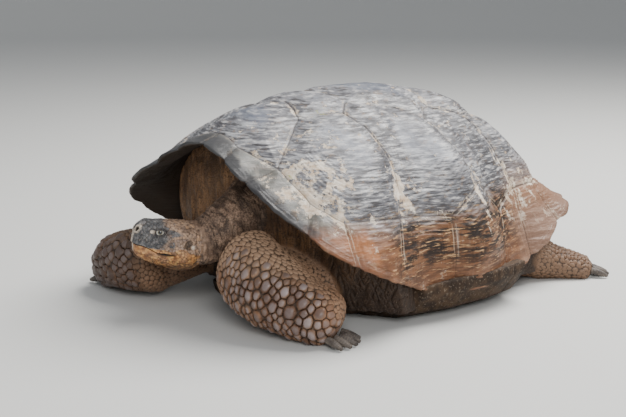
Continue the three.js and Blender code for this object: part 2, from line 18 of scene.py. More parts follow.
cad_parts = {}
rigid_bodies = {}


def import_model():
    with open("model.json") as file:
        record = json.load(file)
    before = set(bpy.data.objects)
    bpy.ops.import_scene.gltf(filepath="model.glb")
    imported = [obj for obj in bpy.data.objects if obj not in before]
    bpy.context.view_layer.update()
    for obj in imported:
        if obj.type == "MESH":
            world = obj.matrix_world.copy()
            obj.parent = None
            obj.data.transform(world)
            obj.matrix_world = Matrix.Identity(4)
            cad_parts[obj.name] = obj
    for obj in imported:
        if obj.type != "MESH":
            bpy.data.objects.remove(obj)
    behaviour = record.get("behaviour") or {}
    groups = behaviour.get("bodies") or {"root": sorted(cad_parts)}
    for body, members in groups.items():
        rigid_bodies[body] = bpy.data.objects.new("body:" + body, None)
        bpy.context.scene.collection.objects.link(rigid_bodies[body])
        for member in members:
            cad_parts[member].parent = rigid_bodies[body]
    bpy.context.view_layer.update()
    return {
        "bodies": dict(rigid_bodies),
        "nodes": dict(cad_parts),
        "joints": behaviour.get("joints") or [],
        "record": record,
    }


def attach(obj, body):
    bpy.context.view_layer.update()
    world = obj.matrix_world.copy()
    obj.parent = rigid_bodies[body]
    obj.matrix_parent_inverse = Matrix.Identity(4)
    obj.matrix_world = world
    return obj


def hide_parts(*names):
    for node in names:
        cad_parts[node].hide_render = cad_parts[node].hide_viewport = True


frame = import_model()

# %% [markdown]
# ## Tools for making meshes
# Organic surfaces are easiest to control as numbers: a grid of points is computed
# with numpy, pushed about by noise, and only then handed to Blender as a mesh. The
# noise has to come out the same on every run, so it is built from a fixed hash of
# whole-number lattice points instead of a random generator.

# %% Numbers, curves and noise
def mix(a, b, t):
    """From a at t = 0 to b at t = 1."""
    return a + (b - a) * t


def ease(low, high, x):
    """0 below low and 1 above high, eased between them. low may be the larger."""
    t = np.clip((x - low) / (high - low), 0, 1)
    return t * t * (3 - 2 * t)


def bell(x, width, power=2):
    """1 at 0, falling off on both sides over the width. A higher power makes it squarer."""
    return np.exp(-((x / width) ** power))


def keyed(angles, values, angle):
    """A smooth curve through values at angles, flat at both ends."""
    angles, values = np.array(angles, float), np.array(values, float)
    k = np.clip(np.searchsorted(angles, angle, side="right") - 1, 0, len(angles) - 2)
    slope = np.zeros(len(angles))
    slope[1:-1] = (values[2:] - values[:-2]) / (angles[2:] - angles[:-2])
    width = angles[k + 1] - angles[k]
    t = (angle - angles[k]) / width
    start = values[k] * (2 * t**3 - 3 * t**2 + 1) + slope[k] * width * (t**3 - 2 * t**2 + t)
    end = values[k + 1] * (3 * t**2 - 2 * t**3) + slope[k + 1] * width * (t**3 - t**2)
    return start + end


def hashed(cells, seed):
    """A number from 0 to 1 for each whole-number lattice cell."""
    x, y, z = (cells[..., i].astype(np.int64) for i in range(3))
    n = (x * 73856093) ^ (y * 19349663) ^ (z * 83492791) ^ (seed * 2654435761)
    n = (n ^ (n >> 13)) * 1274126177 & 0x7FFFFFFF
    n = (n ^ (n >> 15)) * 668265263 & 0x7FFFFFFF
    return ((n ^ (n >> 12)) & 0xFFFFFF) / float(0xFFFFFF)


def noise(points, size, seed=0):
    """Smooth noise from -1 to 1 whose lumps are about size across."""
    p = np.asarray(points) / size
    base = np.floor(p).astype(np.int64)
    f = p - base
    f = f * f * (3 - 2 * f)
    total = np.zeros(p.shape[:-1])
    for corner in range(8):
        offset = np.array([corner & 1, corner >> 1 & 1, corner >> 2 & 1])
        weight = np.prod(np.where(offset, f, 1 - f), axis=-1)
        total += weight * hashed(base + offset, seed)
    return total * 2 - 1


def fractal(points, size, octaves, seed):
    """Noise with finer and weaker noise on it."""
    return sum(noise(points, size / 2**k, seed + k) / 2**k for k in range(octaves))


# %% Meshes from numbers
def make_mesh(name, points, face_groups):
    """A smooth mesh object from points and from faces, grouped by their number of corners."""
    groups = [np.asarray(group, np.int32) for group in face_groups]
    sizes = np.concatenate([np.full(len(group), group.shape[1], np.int32) for group in groups])
    corners = np.concatenate([group.ravel() for group in groups])
    mesh = bpy.data.meshes.new(name)
    mesh.vertices.add(len(points))
    mesh.vertices.foreach_set("co", np.asarray(points, np.float32).ravel())
    mesh.loops.add(len(corners))
    mesh.loops.foreach_set("vertex_index", corners)
    mesh.polygons.add(len(sizes))
    mesh.polygons.foreach_set("loop_start", (np.cumsum(sizes) - sizes).astype(np.int32))
    mesh.update(calc_edges=True)
    mesh.validate()
    mesh.polygons.foreach_set("use_smooth", np.ones(len(sizes), bool))
    made = bpy.data.objects.new(name, mesh)
    bpy.context.scene.collection.objects.link(made)
    return made


def carry(made, numbers):
    """Keeps named numbers on a mesh, one per point, for its finish."""
    for name, values in numbers.items():
        attribute = made.data.attributes.new(name, "FLOAT", "POINT")
        attribute.data.foreach_set("value", np.asarray(values, np.float32))


def once_round(count):
    """Angles of that many points once round a ring."""
    return np.arange(count) * 2 * np.pi / count


def ring_faces(rings, count):
    """Quads between neighbouring rings of count points each."""
    k, after = np.arange(count), (np.arange(count) + 1) % count
    r = np.arange(rings - 1)[:, None] * count
    return np.stack([r + k, r + count + k, r + count + after, r + after], -1).reshape(-1, 4)


def closed_rings(rings, first=None, last=None):
    """Points and faces of a body skinned over rings, with a point at each end."""
    number, count = rings.shape[:2]
    first = rings[0].mean(0) if first is None else first
    last = rings[-1].mean(0) if last is None else last
    points = np.concatenate([rings.reshape(-1, 3), [first, last]])
    k, after = np.arange(count), (np.arange(count) + 1) % count
    start = np.stack([np.full(count, number * count), k, after], -1)
    base = (number - 1) * count
    end = np.stack([np.full(count, number * count + 1), base + after, base + k], -1)
    return points, [ring_faces(number, count), start, end]


def points_of(made):
    flat = np.empty(len(made.data.vertices) * 3, np.float32)
    made.data.vertices.foreach_get("co", flat)
    return flat.reshape(-1, 3).astype(float)


# %% [markdown]
# ## The shell
# A tortoise's upper shell is a dome of bone under horn plates: five along the
# spine, four down each side and a row of rim plates round the edge. Each plate grows
# at its edge, so it carries rings that follow its outline, and it meets its
# neighbours in a narrow groove. One could sculpt all that, but here every point of the
# shell is an address on a flat disc, with radius 1 at the rim. The disc is mapped to
# the dome by one formula, and the plates are polygons on the disc.

# %% Shape of the dome, by angles round it from the front, in degrees
SHELL_HEIGHT, CROWN_Y = 0.516, 0.035
FAR_RISE = {"height": 0.024, "angle": 40, "spread": 15}         # the right front edge is higher
RIM_ANGLES = [0, 22, 45, 68, 90, 120, 150, 180]
RIM_REACH = [0.519, 0.565, 0.594, 0.442, 0.429, 0.430, 0.576, 0.603]
RIM_HEIGHT = [0.426, 0.337, 0.193, 0.085, 0.066, 0.070, 0.193, 0.157]
SPOKE_ANGLES = [0, 45, 90, 135, 180]
CROWN_SPREAD = [0.55, 0.504, 0.577, 0.684, 0.665]
FLANK_SPREAD = [0.612, 0.733, 1.104, 0.785, 0.704]
FLANK_LIFT = [0.777, 0.517, 0.4, 0.227, 0.133]
RIM_SEAMS = [0, 10, 18, 35, 46.5, 58, 78, 105, 126, 140, 153, 166, 180]
RIM_SCALLOP = [0.009, 0.008, 0.012, 0.009, 0.003, 0, 0, 0.003, 0.009, 0.012, 0.010, 0.008]


def shell_surface(left, rear):
    """Places on the dome for addresses on the disc."""
    v = np.hypot(left, rear)
    turn = np.arctan2(left, -rear)
    angle = np.abs(np.degrees(turn))
    k = np.clip(np.searchsorted(RIM_SEAMS, angle, side="right") - 1, 0, 11)
    seams = np.array(RIM_SEAMS, float)
    t = (angle - seams[k]) / (seams[k + 1] - seams[k])
    bow = np.array(RIM_SCALLOP)[k] * (4 * t * (1 - t) - 0.5)
    reach = keyed(RIM_ANGLES, RIM_REACH, angle) + bow * np.maximum(0, (v - 0.8) / 0.2) ** 2
    raised = FAR_RISE["height"] * bell(angle - FAR_RISE["angle"], FAR_RISE["spread"])
    foot = keyed(RIM_ANGLES, RIM_HEIGHT, angle) + np.where(left < 0, raised, 0)
    w = 1 - v
    crown, flank, rim = 3 * w * w * v, 3 * w * v * v, v**3
    crown_spread, flank_spread, flank_lift = (
        keyed(SPOKE_ANGLES, values, angle) for values in (CROWN_SPREAD, FLANK_SPREAD, FLANK_LIFT))
    radius = (crown * crown_spread + flank * flank_spread + rim) * reach
    flank_height = mix(foot, SHELL_HEIGHT, flank_lift)
    height = (w**3 + crown) * SHELL_HEIGHT + flank * flank_height + rim * foot
    return np.stack([radius * np.sin(turn), CROWN_Y - radius * np.cos(turn), height], -1)


def unit(vectors):
    """The same directions, 1 long."""
    return vectors / np.linalg.norm(vectors, axis=-1, keepdims=True)


def shell_normal(left, rear, step=0.012):
    across = shell_surface(left + step, rear) - shell_surface(left - step, rear)
    along = shell_surface(left, rear + step) - shell_surface(left, rear - step)
    return unit(np.cross(across, along))


# %% Plates on the disc
SPINE = [-0.905, -0.43, -0.19, 0.1, 0.335, 0.79]
SPINE_SEAM = [(0.165, -0.49), (0.125, -0.185), (0.19, 0.13), (0.146, 0.335)]
SPINE_SIDE = [(0.34, -0.785), (0.19, -0.265), (0.285, 0.05), (0.206, 0.245), (0.316, 0.735)]
SHOULDER = (0.16, -0.9)
SIDE_SEAMS = [
    [(0.275, -0.248), (0.366, -0.261), (0.454, -0.273), (0.569, -0.32), (0.645, -0.39)],
    [(0.397, 0.081), (0.464, 0.116), (0.565, 0.13)],
    [(0.33, 0.36), (0.5, 0.47)],
]
RIM_TOPS = [
    (0, SPINE[0]), SHOULDER, SPINE_SIDE[0], (0.492, -0.73), (0.585, -0.638), (0.645, -0.39),
    (0.695, -0.116), (0.609, 0.345), (0.5, 0.47), (0.44, 0.61), SPINE_SIDE[4], (0.15, 0.8),
    (0, SPINE[5]),
]
RIM_PEAK = (0.565, 0.13)


def on_rim(angle, radius=1.03):
    """A corner a little outside the disc, so that rim plates reach past its edge."""
    return (radius * math.sin(math.radians(angle)), -radius * math.cos(math.radians(angle)))


def mirrored(corners):
    return [(-x, y) for x, y in reversed(corners)]


def shell_plates():
    """Each plate as (kind, corners), counter-clockwise on the disc."""
    plates = []
    for k in range(5):
        half = [SPINE_SEAM[k - 1]] if k > 0 else [SHOULDER]
        half += [SPINE_SIDE[k], SPINE_SEAM[k] if k < 4 else RIM_TOPS[11]]
        plates.append(("spine", [(0, SPINE[k]), *half, (0, SPINE[k + 1]), *mirrored(half)]))
    first, second, third = SIDE_SEAMS
    sides = [
        [SPINE_SEAM[0], SPINE_SIDE[0], RIM_TOPS[3], RIM_TOPS[4], *first[::-1], SPINE_SIDE[1]],
        [SPINE_SIDE[1], *first, RIM_TOPS[6], *second[::-1], SPINE_SIDE[2], SPINE_SEAM[1]],
        [SPINE_SIDE[2], *second, RIM_TOPS[7], *third[::-1], SPINE_SIDE[3], SPINE_SEAM[2]],
        [SPINE_SIDE[3], *third, RIM_TOPS[9], SPINE_SIDE[4], SPINE_SEAM[3]],
    ]
    rims = []
    for k in range(11):
        peak = [RIM_PEAK] if k == 6 else []
        start, end = RIM_SEAMS[k], RIM_SEAMS[k + 1]
        edge = [on_rim(mix(start, end, t)) for t in (0, 0.25, 0.5, 0.75, 1)]
        rims.append([*edge, RIM_TOPS[k + 1], *peak, RIM_TOPS[k]])
    for kind, many in (("side", sides), ("rim", rims)):
        for corners in many:
            plates += [(kind, corners), (kind, mirrored(corners))]
    tail_edge = [on_rim(angle) for angle in (RIM_SEAMS[11], 173, 180, 187, 360 - RIM_SEAMS[11])]
    tail_top = [*mirrored(RIM_TOPS[11:12]), RIM_TOPS[12], RIM_TOPS[11]]
    return [*plates, ("rim", [*tail_edge, *tail_top])]


KINDS = {"spine": 0, "side": 1, "rim": 2}
plates = shell_plates()
print("plates:", {kind: sum(plate[0] == kind for plate in plates) for kind in KINDS})


# %% Where each point lies in its plate
def gauge_in(corners, middle, disc):
    """0 at the plate's oldest point and 1 on its outline, by rings of the outline's shape."""
    found = np.full(len(disc), np.inf)
    q = disc - middle
    for a, b in zip(corners, corners[1:] + corners[:1]):
        ax, ay = a[0] - middle[0], a[1] - middle[1]
        bx, by = b[0] - middle[0], b[1] - middle[1]
        det = ax * by - ay * bx
        if abs(det) < 1e-9:
            continue
        s = (q[:, 0] * by - q[:, 1] * bx) / det
        t = (ax * q[:, 1] - ay * q[:, 0]) / det
        inside = (s >= -1e-6) & (t >= -1e-6)
        found[inside] = np.minimum(found[inside], (s + t)[inside])
    return found


def oldest_point(kind, corners):
    """Growth starts high on a side plate, and at the rear upper corner of a rim plate."""
    middle = np.mean(corners, axis=0)
    if kind == "side":
        return middle * 0.86 + np.array([0, 0.015])
    if kind == "rim":
        return middle * 0.965 + np.array([0, 0.01])
    return middle + np.array([0, 0.02])


def plate_fields(disc):
    """The gauge of each address on the disc, and which plate it lies in."""
    gauge = np.full(len(disc), np.inf)
    index = np.zeros(len(disc), int)
    for k, (kind, corners) in enumerate(plates):
        here = gauge_in(corners, oldest_point(kind, corners), disc)
        better = here < gauge
        gauge[better], index[better] = here[better], k
    return np.clip(gauge, 0, 1), index


# %% Distance to the nearest seam, in metres on the dome
SEAM_STEP = 0.0016              # between the points that stand for a seam, on the disc


def seam_tree():
    """All seams as close-set points on the dome, each seam a little wavy."""
    tracks = []
    for _, corners in plates:
        for a, b in zip(corners, corners[1:] + corners[:1]):
            if min(math.hypot(*a), math.hypot(*b)) < 1.01:      # not along the rim itself
                t = np.linspace(0, 1, max(2, int(math.dist(a, b) / SEAM_STEP)))[:, None]
                tracks.append(mix(np.array(a), np.array(b), t))
    spots = shell_surface(*np.concatenate(tracks).T)
    print("seam points:", len(spots))
    tree = KDTree(len(spots))
    for k, spot in enumerate(spots):
        tree.insert(spot, k)
    tree.balance()
    return tree


def shaken(points, size, seeds):
    """A smooth push from -1 to 1 each way, one seed for each direction."""
    return np.stack([noise(points, size, seed) for seed in seeds], -1)


def seam_distance(points):
    tree = seam_tree()
    waved = points + 0.0022 * shaken(points, 0.03, (11, 12, 13))
    return np.array([tree.find(spot)[2] for spot in waved])


# %% [markdown]
# The relief comes from three numbers at each point: which plate it is in, how far out
# it lies between the plate's oldest point and its outline (its gauge), and its distance
# to the nearest seam. The swelling of a plate and its coarse growth steps follow the
# gauge, the groove follows the distance, and slow noise makes it look grown. The
# distance and the kind of plate stay on the mesh for the colours.

# %% Relief of the shell
SWELL = np.array([0.011, 0.011, 0.005])       # how far plates stand out: spine, side, rim
STEPS = np.array([15, 19, 9])                 # their coarse growth steps


def ring_noise(index, gauge, points):
    """Growth rings are uneven, and differ from plate to plate."""
    lanes = np.stack([gauge * 14, index * 3.7, np.zeros(len(gauge))], -1)
    return noise(lanes, 1.0, 31) + 0.5 * noise(points, 0.12, 32)


def shell_relief(disc, points):
    """How far each point stands out, its distance to a seam, and its plate's kind."""
    gauge, index = plate_fields(disc)
    seam = seam_distance(points)
    kinds = np.array([KINDS[plate[0]] for plate in plates])[index]
    lift = -0.002 + SWELL[kinds] * mix(1 - gauge**3, ease(0, 0.055, seam), 0.8)
    lift -= 0.0023 * bell(seam, 0.0020) + 0.0013 * bell(seam, 0.007)
    phase = gauge * STEPS[kinds] + 0.45 * ring_noise(index, gauge, points)
    aged = ease(0.25, 0.6, gauge) * ease(0.0, 0.006, seam)
    lower = ease(0.46, 0.25, points[:, 2])
    lift += (0.0001 + 0.0007 * lower) * aged * np.sin(2 * np.pi * phase)
    lift += (0.0006 + 0.0008 * lower) * noise(points * (0.16, 0.16, 1), 0.011, 46)
    lift += 0.0016 * fractal(points, 0.11, 3, 41) + 0.0005 * fractal(points, 0.018, 2, 45)
    return lift, seam, kinds


# %% Build the shell: outside, chipped rim and inside
SPOKES, RINGS = 1040, 250
ROOF, EDGE = 0.027, 0.008                     # mean surface to inner skin, and the same at the rim
TIP = 0.0004                                  # radius of the first and the last ring


def dome_under(radius, turn, depth):
    """A ring of points below the dome's mean surface."""
    left, rear = radius * np.sin(turn), -radius * np.cos(turn)
    return shell_surface(left, rear) - shell_normal(left, rear) * depth


def rim_wrap(mean, normal, lift):
    """The rim: a half round from the outer surface to the inner skin, chipped a little."""
    outward = unit(np.cross(np.roll(mean, -1, 0) - np.roll(mean, 1, 0), normal))
    outward *= np.sign(np.sum(outward * (mean - (0, CROWN_Y, 0)), 1))[:, None]
    half = (lift + EDGE) / 2
    chipped = 0.003 * noise(mean, 0.03, 52) + 0.0018 * noise(mean, 0.009, 53)
    wrap = []
    for a in np.radians([25, 50, 75, 100, 125, 150, 180]):
        reach = (np.minimum(half, 0.0075) + chipped) * np.sin(a)
        down = lift - half + half * np.cos(a)
        wrap.append(mean + normal * down[:, None] + outward * reach[:, None])
    return wrap


def build_shell():
    v = np.linspace(0, 1, RINGS) ** 0.94
    v[0] = TIP
    turn = once_round(SPOKES)
    grid_v, grid_turn = np.meshgrid(v, turn, indexing="ij")
    disc = np.stack([grid_v * np.sin(grid_turn), -grid_v * np.cos(grid_turn)], -1).reshape(-1, 2)
    mean, normal = shell_surface(*disc.T), shell_normal(*disc.T)
    lift, seam, kinds = shell_relief(disc, mean)
    wrap = rim_wrap(mean[-SPOKES:], normal[-SPOKES:], lift[-SPOKES:])
    inner = []
    for radius in [0.985, 0.96, 0.93, 0.89, 0.84, 0.78, 0.7, 0.6, 0.48, 0.34, 0.18, TIP]:
        roof = dome_under(radius, turn, mix(EDGE, ROOF, ease(1.0, 0.88, radius)))
        inner.append(roof + 0.0012 * noise(roof, 0.05, 51)[:, None])
    rings = np.concatenate([mean + normal * lift[:, None], *wrap, *inner]).reshape(-1, SPOKES, 3)
    made = make_mesh("shell", *closed_rings(rings))

    def carried(numbers):
        """Outer values, then the rim's values all the way round the inside."""
        inside = np.tile(numbers[-SPOKES:], len(wrap) + len(inner))
        return np.concatenate([numbers, inside, [numbers[0], 1.0]])

    inward = np.concatenate([np.linspace(0.1, 1, len(wrap)), np.ones(len(inner))])
    under = np.concatenate([np.zeros(len(disc)), np.repeat(inward, SPOKES), [0, 1]])
    values = {"seam": seam, "edge": np.repeat(v, SPOKES), "kind": kinds}
    carry(made, {"under": under, **{name: carried(numbers) for name, numbers in values.items()}})
    return made


shell = build_shell()
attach(shell, "root")
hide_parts("carapace")
print("shell faces:", len(shell.data.polygons))

# %% [markdown]
# ## Tools for making finishes
# A finish is a small network of nodes. Written out node by node it is long and hard to
# read, so a wire (the number that comes out of a socket) is wrapped in a class that
# knows arithmetic: adding two wires adds a Math node. Colours go through Mix nodes, and
# every other node comes from the one method `make`.

# %% Wires
class Wire:
    """A number on its way between nodes. Arithmetic on it adds Math nodes."""

    def __init__(self, finish, socket):
        self.finish, self.socket = finish, socket

    def math(self, operation, a, b=0.0):
        return self.finish.make("ShaderNodeMath", {"operation": operation}, {0: a, 1: b})[0]

    def __add__(self, other):
        return self.math("ADD", self, other)

    def __sub__(self, other):
        return self.math("SUBTRACT", self, other)

    def __rsub__(self, other):
        return self.math("SUBTRACT", other, self)

    def __mul__(self, other):
        return self.math("MULTIPLY", self, other)

    __radd__, __rmul__ = __add__, __mul__

    def absolute(self):
        return self.math("ABSOLUTE", self)

    def band(self, low, high):
        """0 below low and 1 above high, eased between them. low may be the larger."""
        # Sockets 1 and 2 hold the range that comes in, 3 and 4 the one that goes out.
        ends = {1: low, 2: high, 3: 0.0, 4: 1.0}
        if low > high:
            ends = {1: high, 2: low, 3: 1.0, 4: 0.0}
        settings = {"interpolation_type": "SMOOTHSTEP", "clamp": True}
        return self.finish.make("ShaderNodeMapRange", settings, {0: self, **ends})[0]


# %% Finishes
class Finish:
    """A material being built, on a Principled shader."""

    def __init__(self, name, **constants):
        self.material = bpy.data.materials.new(name)
        self.material.use_nodes = True
        self.tree = self.material.node_tree
        self.shader = self.tree.nodes["Principled BSDF"]
        for key, value in constants.items():
            self.shader.inputs[key.replace("_", " ")].default_value = value
        self.place = self.make("ShaderNodeTexCoord")["Object"]
        split = self.make("ShaderNodeSeparateXYZ", {}, {0: self.place})
        self.x, self.y, self.z = split[0], split[1], split[2]

    def make(self, kind, settings=None, sockets=None):
        """Adds a node: its settings first, then the values or wires of its sockets."""
        node = self.tree.nodes.new(kind)
        for key, value in (settings or {}).items():
            setattr(node, key, value)
        for key, value in (sockets or {}).items():
            self.feed(node.inputs[key], value)
        wires = [(output.name, Wire(self, output)) for output in node.outputs]
        return {**dict(wires), **{k: wire for k, (_, wire) in enumerate(wires)}}

    def feed(self, socket, value):
        """Puts a wire, a colour or a number on a socket."""
        if isinstance(value, Wire):
            self.tree.links.new(value.socket, socket)
        elif socket.type == "RGBA":
            socket.default_value = (*value, 1)
        else:
            socket.default_value = value

    def number(self, name):
        """A number that the mesh carries at each point."""
        return self.make("ShaderNodeAttribute", {"attribute_name": name})["Fac"]

    def vectors(self, operation, a, b):
        return self.make("ShaderNodeVectorMath", {"operation": operation}, {0: a, 1: b})

    def spots(self, size, detail, roughness, squeeze=None):
        """Cloudy noise from 0 to 1, with lumps of that size in metres, longer where squeezed."""
        place = self.vectors("MULTIPLY", self.place, squeeze)[0] if squeeze else self.place
        sockets = {"Vector": place, "Scale": 1 / size, "Detail": detail, "Roughness": roughness}
        return self.make("ShaderNodeTexNoise", {}, sockets)[0]

    def distance(self, here, there):
        return self.vectors("DISTANCE", here, there)["Value"]

    def blend(self, amount, below, above):
        """Lays one colour over another. Sockets 6 and 7 of the node are its colours."""
        return self.make("ShaderNodeMix", {"data_type": "RGBA"}, {0: amount, 6: below, 7: above})[2]

    def painted(self, color, *coats):
        """Lays colours over the first one in turn, each as (amount, colour)."""
        for amount, above in coats:
            color = self.blend(amount, color, above)
        return color

    def bump(self, height, strength, distance):
        sockets = {"Strength": strength, "Distance": distance, "Height": height}
        return self.make("ShaderNodeBump", {}, sockets)[0]

    def finish(self, pieces, color, roughness, normal=None):
        """Wires the finish up and gives it to the pieces."""
        sockets = {"Base Color": color, "Roughness": roughness, "Normal": normal}
        for key, value in sockets.items():
            if value is not None:
                self.feed(self.shader.inputs[key], value)
        for piece in pieces:
            piece.data.materials.clear()
            piece.data.materials.append(self.material)
        print("finish", self.material.name, "has", len(self.tree.nodes), "nodes")


# %% [markdown]
# ## The shell's finish
# Wet old horn is slate grey and satin on top. Towards the lower edge it is brown and
# black, with tan growth lines, and at some seams the outer layer has flaked off and
# shows cream. The rim plates are grey-green in front, and orange-brown at the shoulder
# and behind. Painting that by hand is possible, but the mesh already knows its seams,
# plates and heights, so the colours follow those numbers and stay in place on every side.

# %% Horn: its patterns and where they lie
horn = Finish("shell_horn", Specular_IOR_Level=0.22, Coat_Roughness=0.24)
seam, kind, under = horn.number("seam"), horn.number("kind"), horn.number("under")
cloud, fleck = horn.spots(0.15, 4.0, 0.55), horn.spots(0.02, 4.0, 0.65)
streak = horn.spots(0.010, 5.0, 0.65, (0.15, 0.15, 1.0))        # drawn out level, as hair is
hair = horn.spots(0.0042, 3.0, 0.6, (0.12, 0.12, 1.0))
flake = horn.spots(0.034, 6.0, 0.72, (1.0, 1.0, 0.7))
clouded = cloud - 0.5                         # moves a border to and fro
rim = kind.band(1.4, 1.6)
low = (horn.z + clouded * 0.12 + (streak - 0.5) * 0.08).band(0.285, 0.215)
front = (horn.y + clouded * 0.1).band(-0.20, -0.28)
rear = (horn.y + clouded * 0.12).band(0.22, 0.33)
shoulder = (horn.z + (fleck - 0.5) * 0.05).band(0.285, 0.235)
ahead = (horn.y + (fleck - 0.5) * 0.04).band(-0.300, -0.325)
# The smooth middles of the high plates, painted blue there as a reflection of the sky and made
# glossier.
heart = seam.band(0.05, 0.085) * horn.z.band(0.34, 0.41) * cloud.band(0.38, 0.58)

# %% Horn of the large plates
slate = horn.painted(
    horn.blend(cloud.band(0.35, 0.65), (0.085, 0.085, 0.095), (0.20, 0.20, 0.215)),
    # Light streaks (tinted blue) and light hairlines: growth lines of the horn, lightened partly as
    # a painted highlight of the sky's sheen.
    (streak.band(0.48, 0.66) * 0.7, (0.40, 0.405, 0.42)),
    (hair.band(0.51, 0.63) * 0.78, (0.036, 0.032, 0.032)),
    (hair.band(0.46, 0.36) * 0.55, (0.62, 0.60, 0.58)),
    (fleck.band(0.56, 0.70) * 0.5, (0.25, 0.16, 0.10)),
    # painted blue reflection of the sky
    (heart * 0.5, (0.085, 0.11, 0.165)),
)
brown = horn.painted(
    horn.blend(streak.band(0.44, 0.60), (0.022, 0.015, 0.012), (0.155, 0.070, 0.032)),
    (hair.band(0.55, 0.68) * 0.75, (0.56, 0.34, 0.17)),
    ((horn.z + clouded * 0.1).band(0.165, 0.10) * 0.6, (0.20, 0.085, 0.04)),
)
buff = horn.blend(streak.band(0.4, 0.65), (0.15, 0.07, 0.036), (0.50, 0.28, 0.15))
color = horn.painted(slate, (low, brown), (rear * horn.z.band(0.35, 0.25) * 0.55, buff))

# %% Horn of the rim plates, smoother than the large ones
olive = horn.painted(
    horn.blend(cloud.band(0.35, 0.65), (0.10, 0.095, 0.080), (0.25, 0.25, 0.23)),
    (streak.band(0.5, 0.65) * 0.5, (0.13, 0.085, 0.055)),
    (fleck.band(0.54, 0.68) * 0.5, (0.36, 0.33, 0.28)),
)
orange = horn.painted(
    horn.blend(cloud.band(0.3, 0.7), (0.16, 0.058, 0.024), (0.46, 0.18, 0.068)),
    (hair.band(0.52, 0.66) * 0.35, (0.07, 0.04, 0.028)),
    (fleck.band(0.55, 0.7) * 0.35, (0.60, 0.40, 0.25)),
)
thin_streak = streak.band(0.5, 0.65) * 0.4
pink = horn.blend(cloud, (0.12, 0.068, 0.048), (0.29, 0.175, 0.125))
pink = horn.blend(thin_streak, pink, (0.42, 0.31, 0.25))
ruddy = horn.blend(cloud, (0.13, 0.060, 0.034), (0.35, 0.185, 0.105))
ruddy = horn.blend(thin_streak, ruddy, (0.07, 0.038, 0.024))
color = horn.painted(
    color,
    (rim * ahead * 0.85, horn.blend(shoulder, olive, orange)),
    (rim * front * (1.0 - ahead) * low * 0.35, orange),
    (rim * rear * 0.85, horn.blend(horn.z.band(0.17, 0.24), pink, ruddy)),
)

# %% Flaked horn: strongest at the shoulder and low on the side seams, thin elsewhere
either_side = horn.make("ShaderNodeCombineXYZ", {}, {0: horn.x.absolute(), 1: horn.y, 2: horn.z})[0]


def about(x, y, z, outer, inner):
    """1 round a place on both sides of the shell, 0 beyond the outer distance."""
    return horn.distance(either_side, (x, y, z)).band(outer, inner)


across = (horn.y + 0.153).absolute().band(0.045, 0.012) * horn.z.band(0.22, 0.26)
second = (horn.y - 0.10).absolute().band(0.04, 0.010) * horn.z.band(0.20, 0.25)
hot = about(0.28, -0.375, 0.325, 0.14, 0.04) * 1.15
hot = hot + across * horn.z.band(0.40, 0.35) + second * horn.z.band(0.37, 0.31) * 0.8
hot = hot + about(0.29, 0.33, 0.25, 0.14, 0.05) * 0.6
hot = hot + about(0.20, -0.30, 0.42, 0.12, 0.04) * 0.35
near_seam = seam.band(0.022, 0.003) * horn.z.band(0.2, 0.3)
ragged = flake + (hair - 0.5) * 0.16 + (streak - 0.5) * 0.1
worn = (ragged + hot * 0.125 + near_seam * 0.06).band(0.61, 0.66)
scratch = horn.spots(0.012, 4.0, 0.7, (0.35, 0.35, 1.2))
scratch = (scratch + hot * 0.05 + cloud * 0.05).band(0.64, 0.70)
worn = (worn + scratch * 0.45).band(0.1, 0.95) * (0.25 + horn.z.band(0.15, 0.26) * 0.75)
cream = horn.blend(fleck.band(0.3, 0.7), (0.50, 0.36, 0.24), (0.80, 0.74, 0.64))
cream = horn.blend(hair.band(0.55, 0.66) * 0.5, cream, (0.30, 0.20, 0.13))

# %% Moss, grooves, and painted shade on the front rim and inside the shell
moss = about(0.115, -0.21, 0.485, 0.03, 0.01) + about(0.215, -0.405, 0.36, 0.035, 0.01)
beside = seam.band(0.0035, 0.0045) * seam.band(0.0075, 0.0055) * flake.band(0.42, 0.55)
groove = seam.band(0.0028, 0.0008)
# Painted shade: the front rim's edge, and the rim plates at the front of the far side, darkened
# where they turn away from the light.
front_rim_shade = (horn.number("edge") + (streak - 0.5) * 0.05).band(0.945, 0.98)
front_rim_shade = front_rim_shade * horn.y.band(-0.25, -0.33) * (1.0 - shoulder * 0.6)
beyond = rim * horn.x.band(0.17, 0.05) * horn.y.band(-0.40, -0.46)
front_rim_shade = (front_rim_shade + beyond * (0.75 + fleck * 0.3)).band(0.0, 1.0)
color = horn.painted(
    color,
    (worn * 0.9, cream),
    ((moss * 0.3 + fleck).band(0.80, 0.9), (0.26, 0.27, 0.035)),
    (beside * 0.55 * horn.z.band(0.12, 0.2), (0.46, 0.38, 0.29)),
    (groove * (0.35 + fleck * 0.6), (0.05, 0.036, 0.028)),
    # painted shade on the front rim
    (front_rim_shade * 0.88, (0.028, 0.028, 0.032)),
    # painted shade: the rim's underside and the inside of the shell near black
    (under.band(0.3, 0.8), horn.blend(cloud, (0.020, 0.015, 0.012), (0.060, 0.040, 0.027))),
)

# %% Gloss and fine relief of the horn
wet = streak.band(0.42, 0.58) * 0.28 + heart * 0.25 + cloud.band(0.4, 0.6) * 0.1
horn.feed(horn.shader.inputs["Coat Weight"], wet * (1.0 - worn) * (1.0 - under))
rough = 0.36 + fleck * 0.2 + worn * 0.3 + low * 0.04 + under * 0.3
pores = horn.spots(0.0035, 3.0, 0.6)
relief = streak * 0.8 + hair * (0.5 + low * 0.6) - worn * 0.4 + pores * 0.15
horn.finish([shell], color, rough, horn.bump(relief, 0.85, 0.0018))

# %% [markdown]
# ## The flesh
# Trunk, neck, head, legs and tail are one skin on the living animal, with no seam
# anywhere. Sculpting it from one block is possible, but each part has a shape of its own
# that is easy to say in numbers: a round body through a few stations. So we make the
# bodies one by one, fuse them by a fine voxel remesh, and fill the creases where they
# meet until the skin runs on from one to the next.

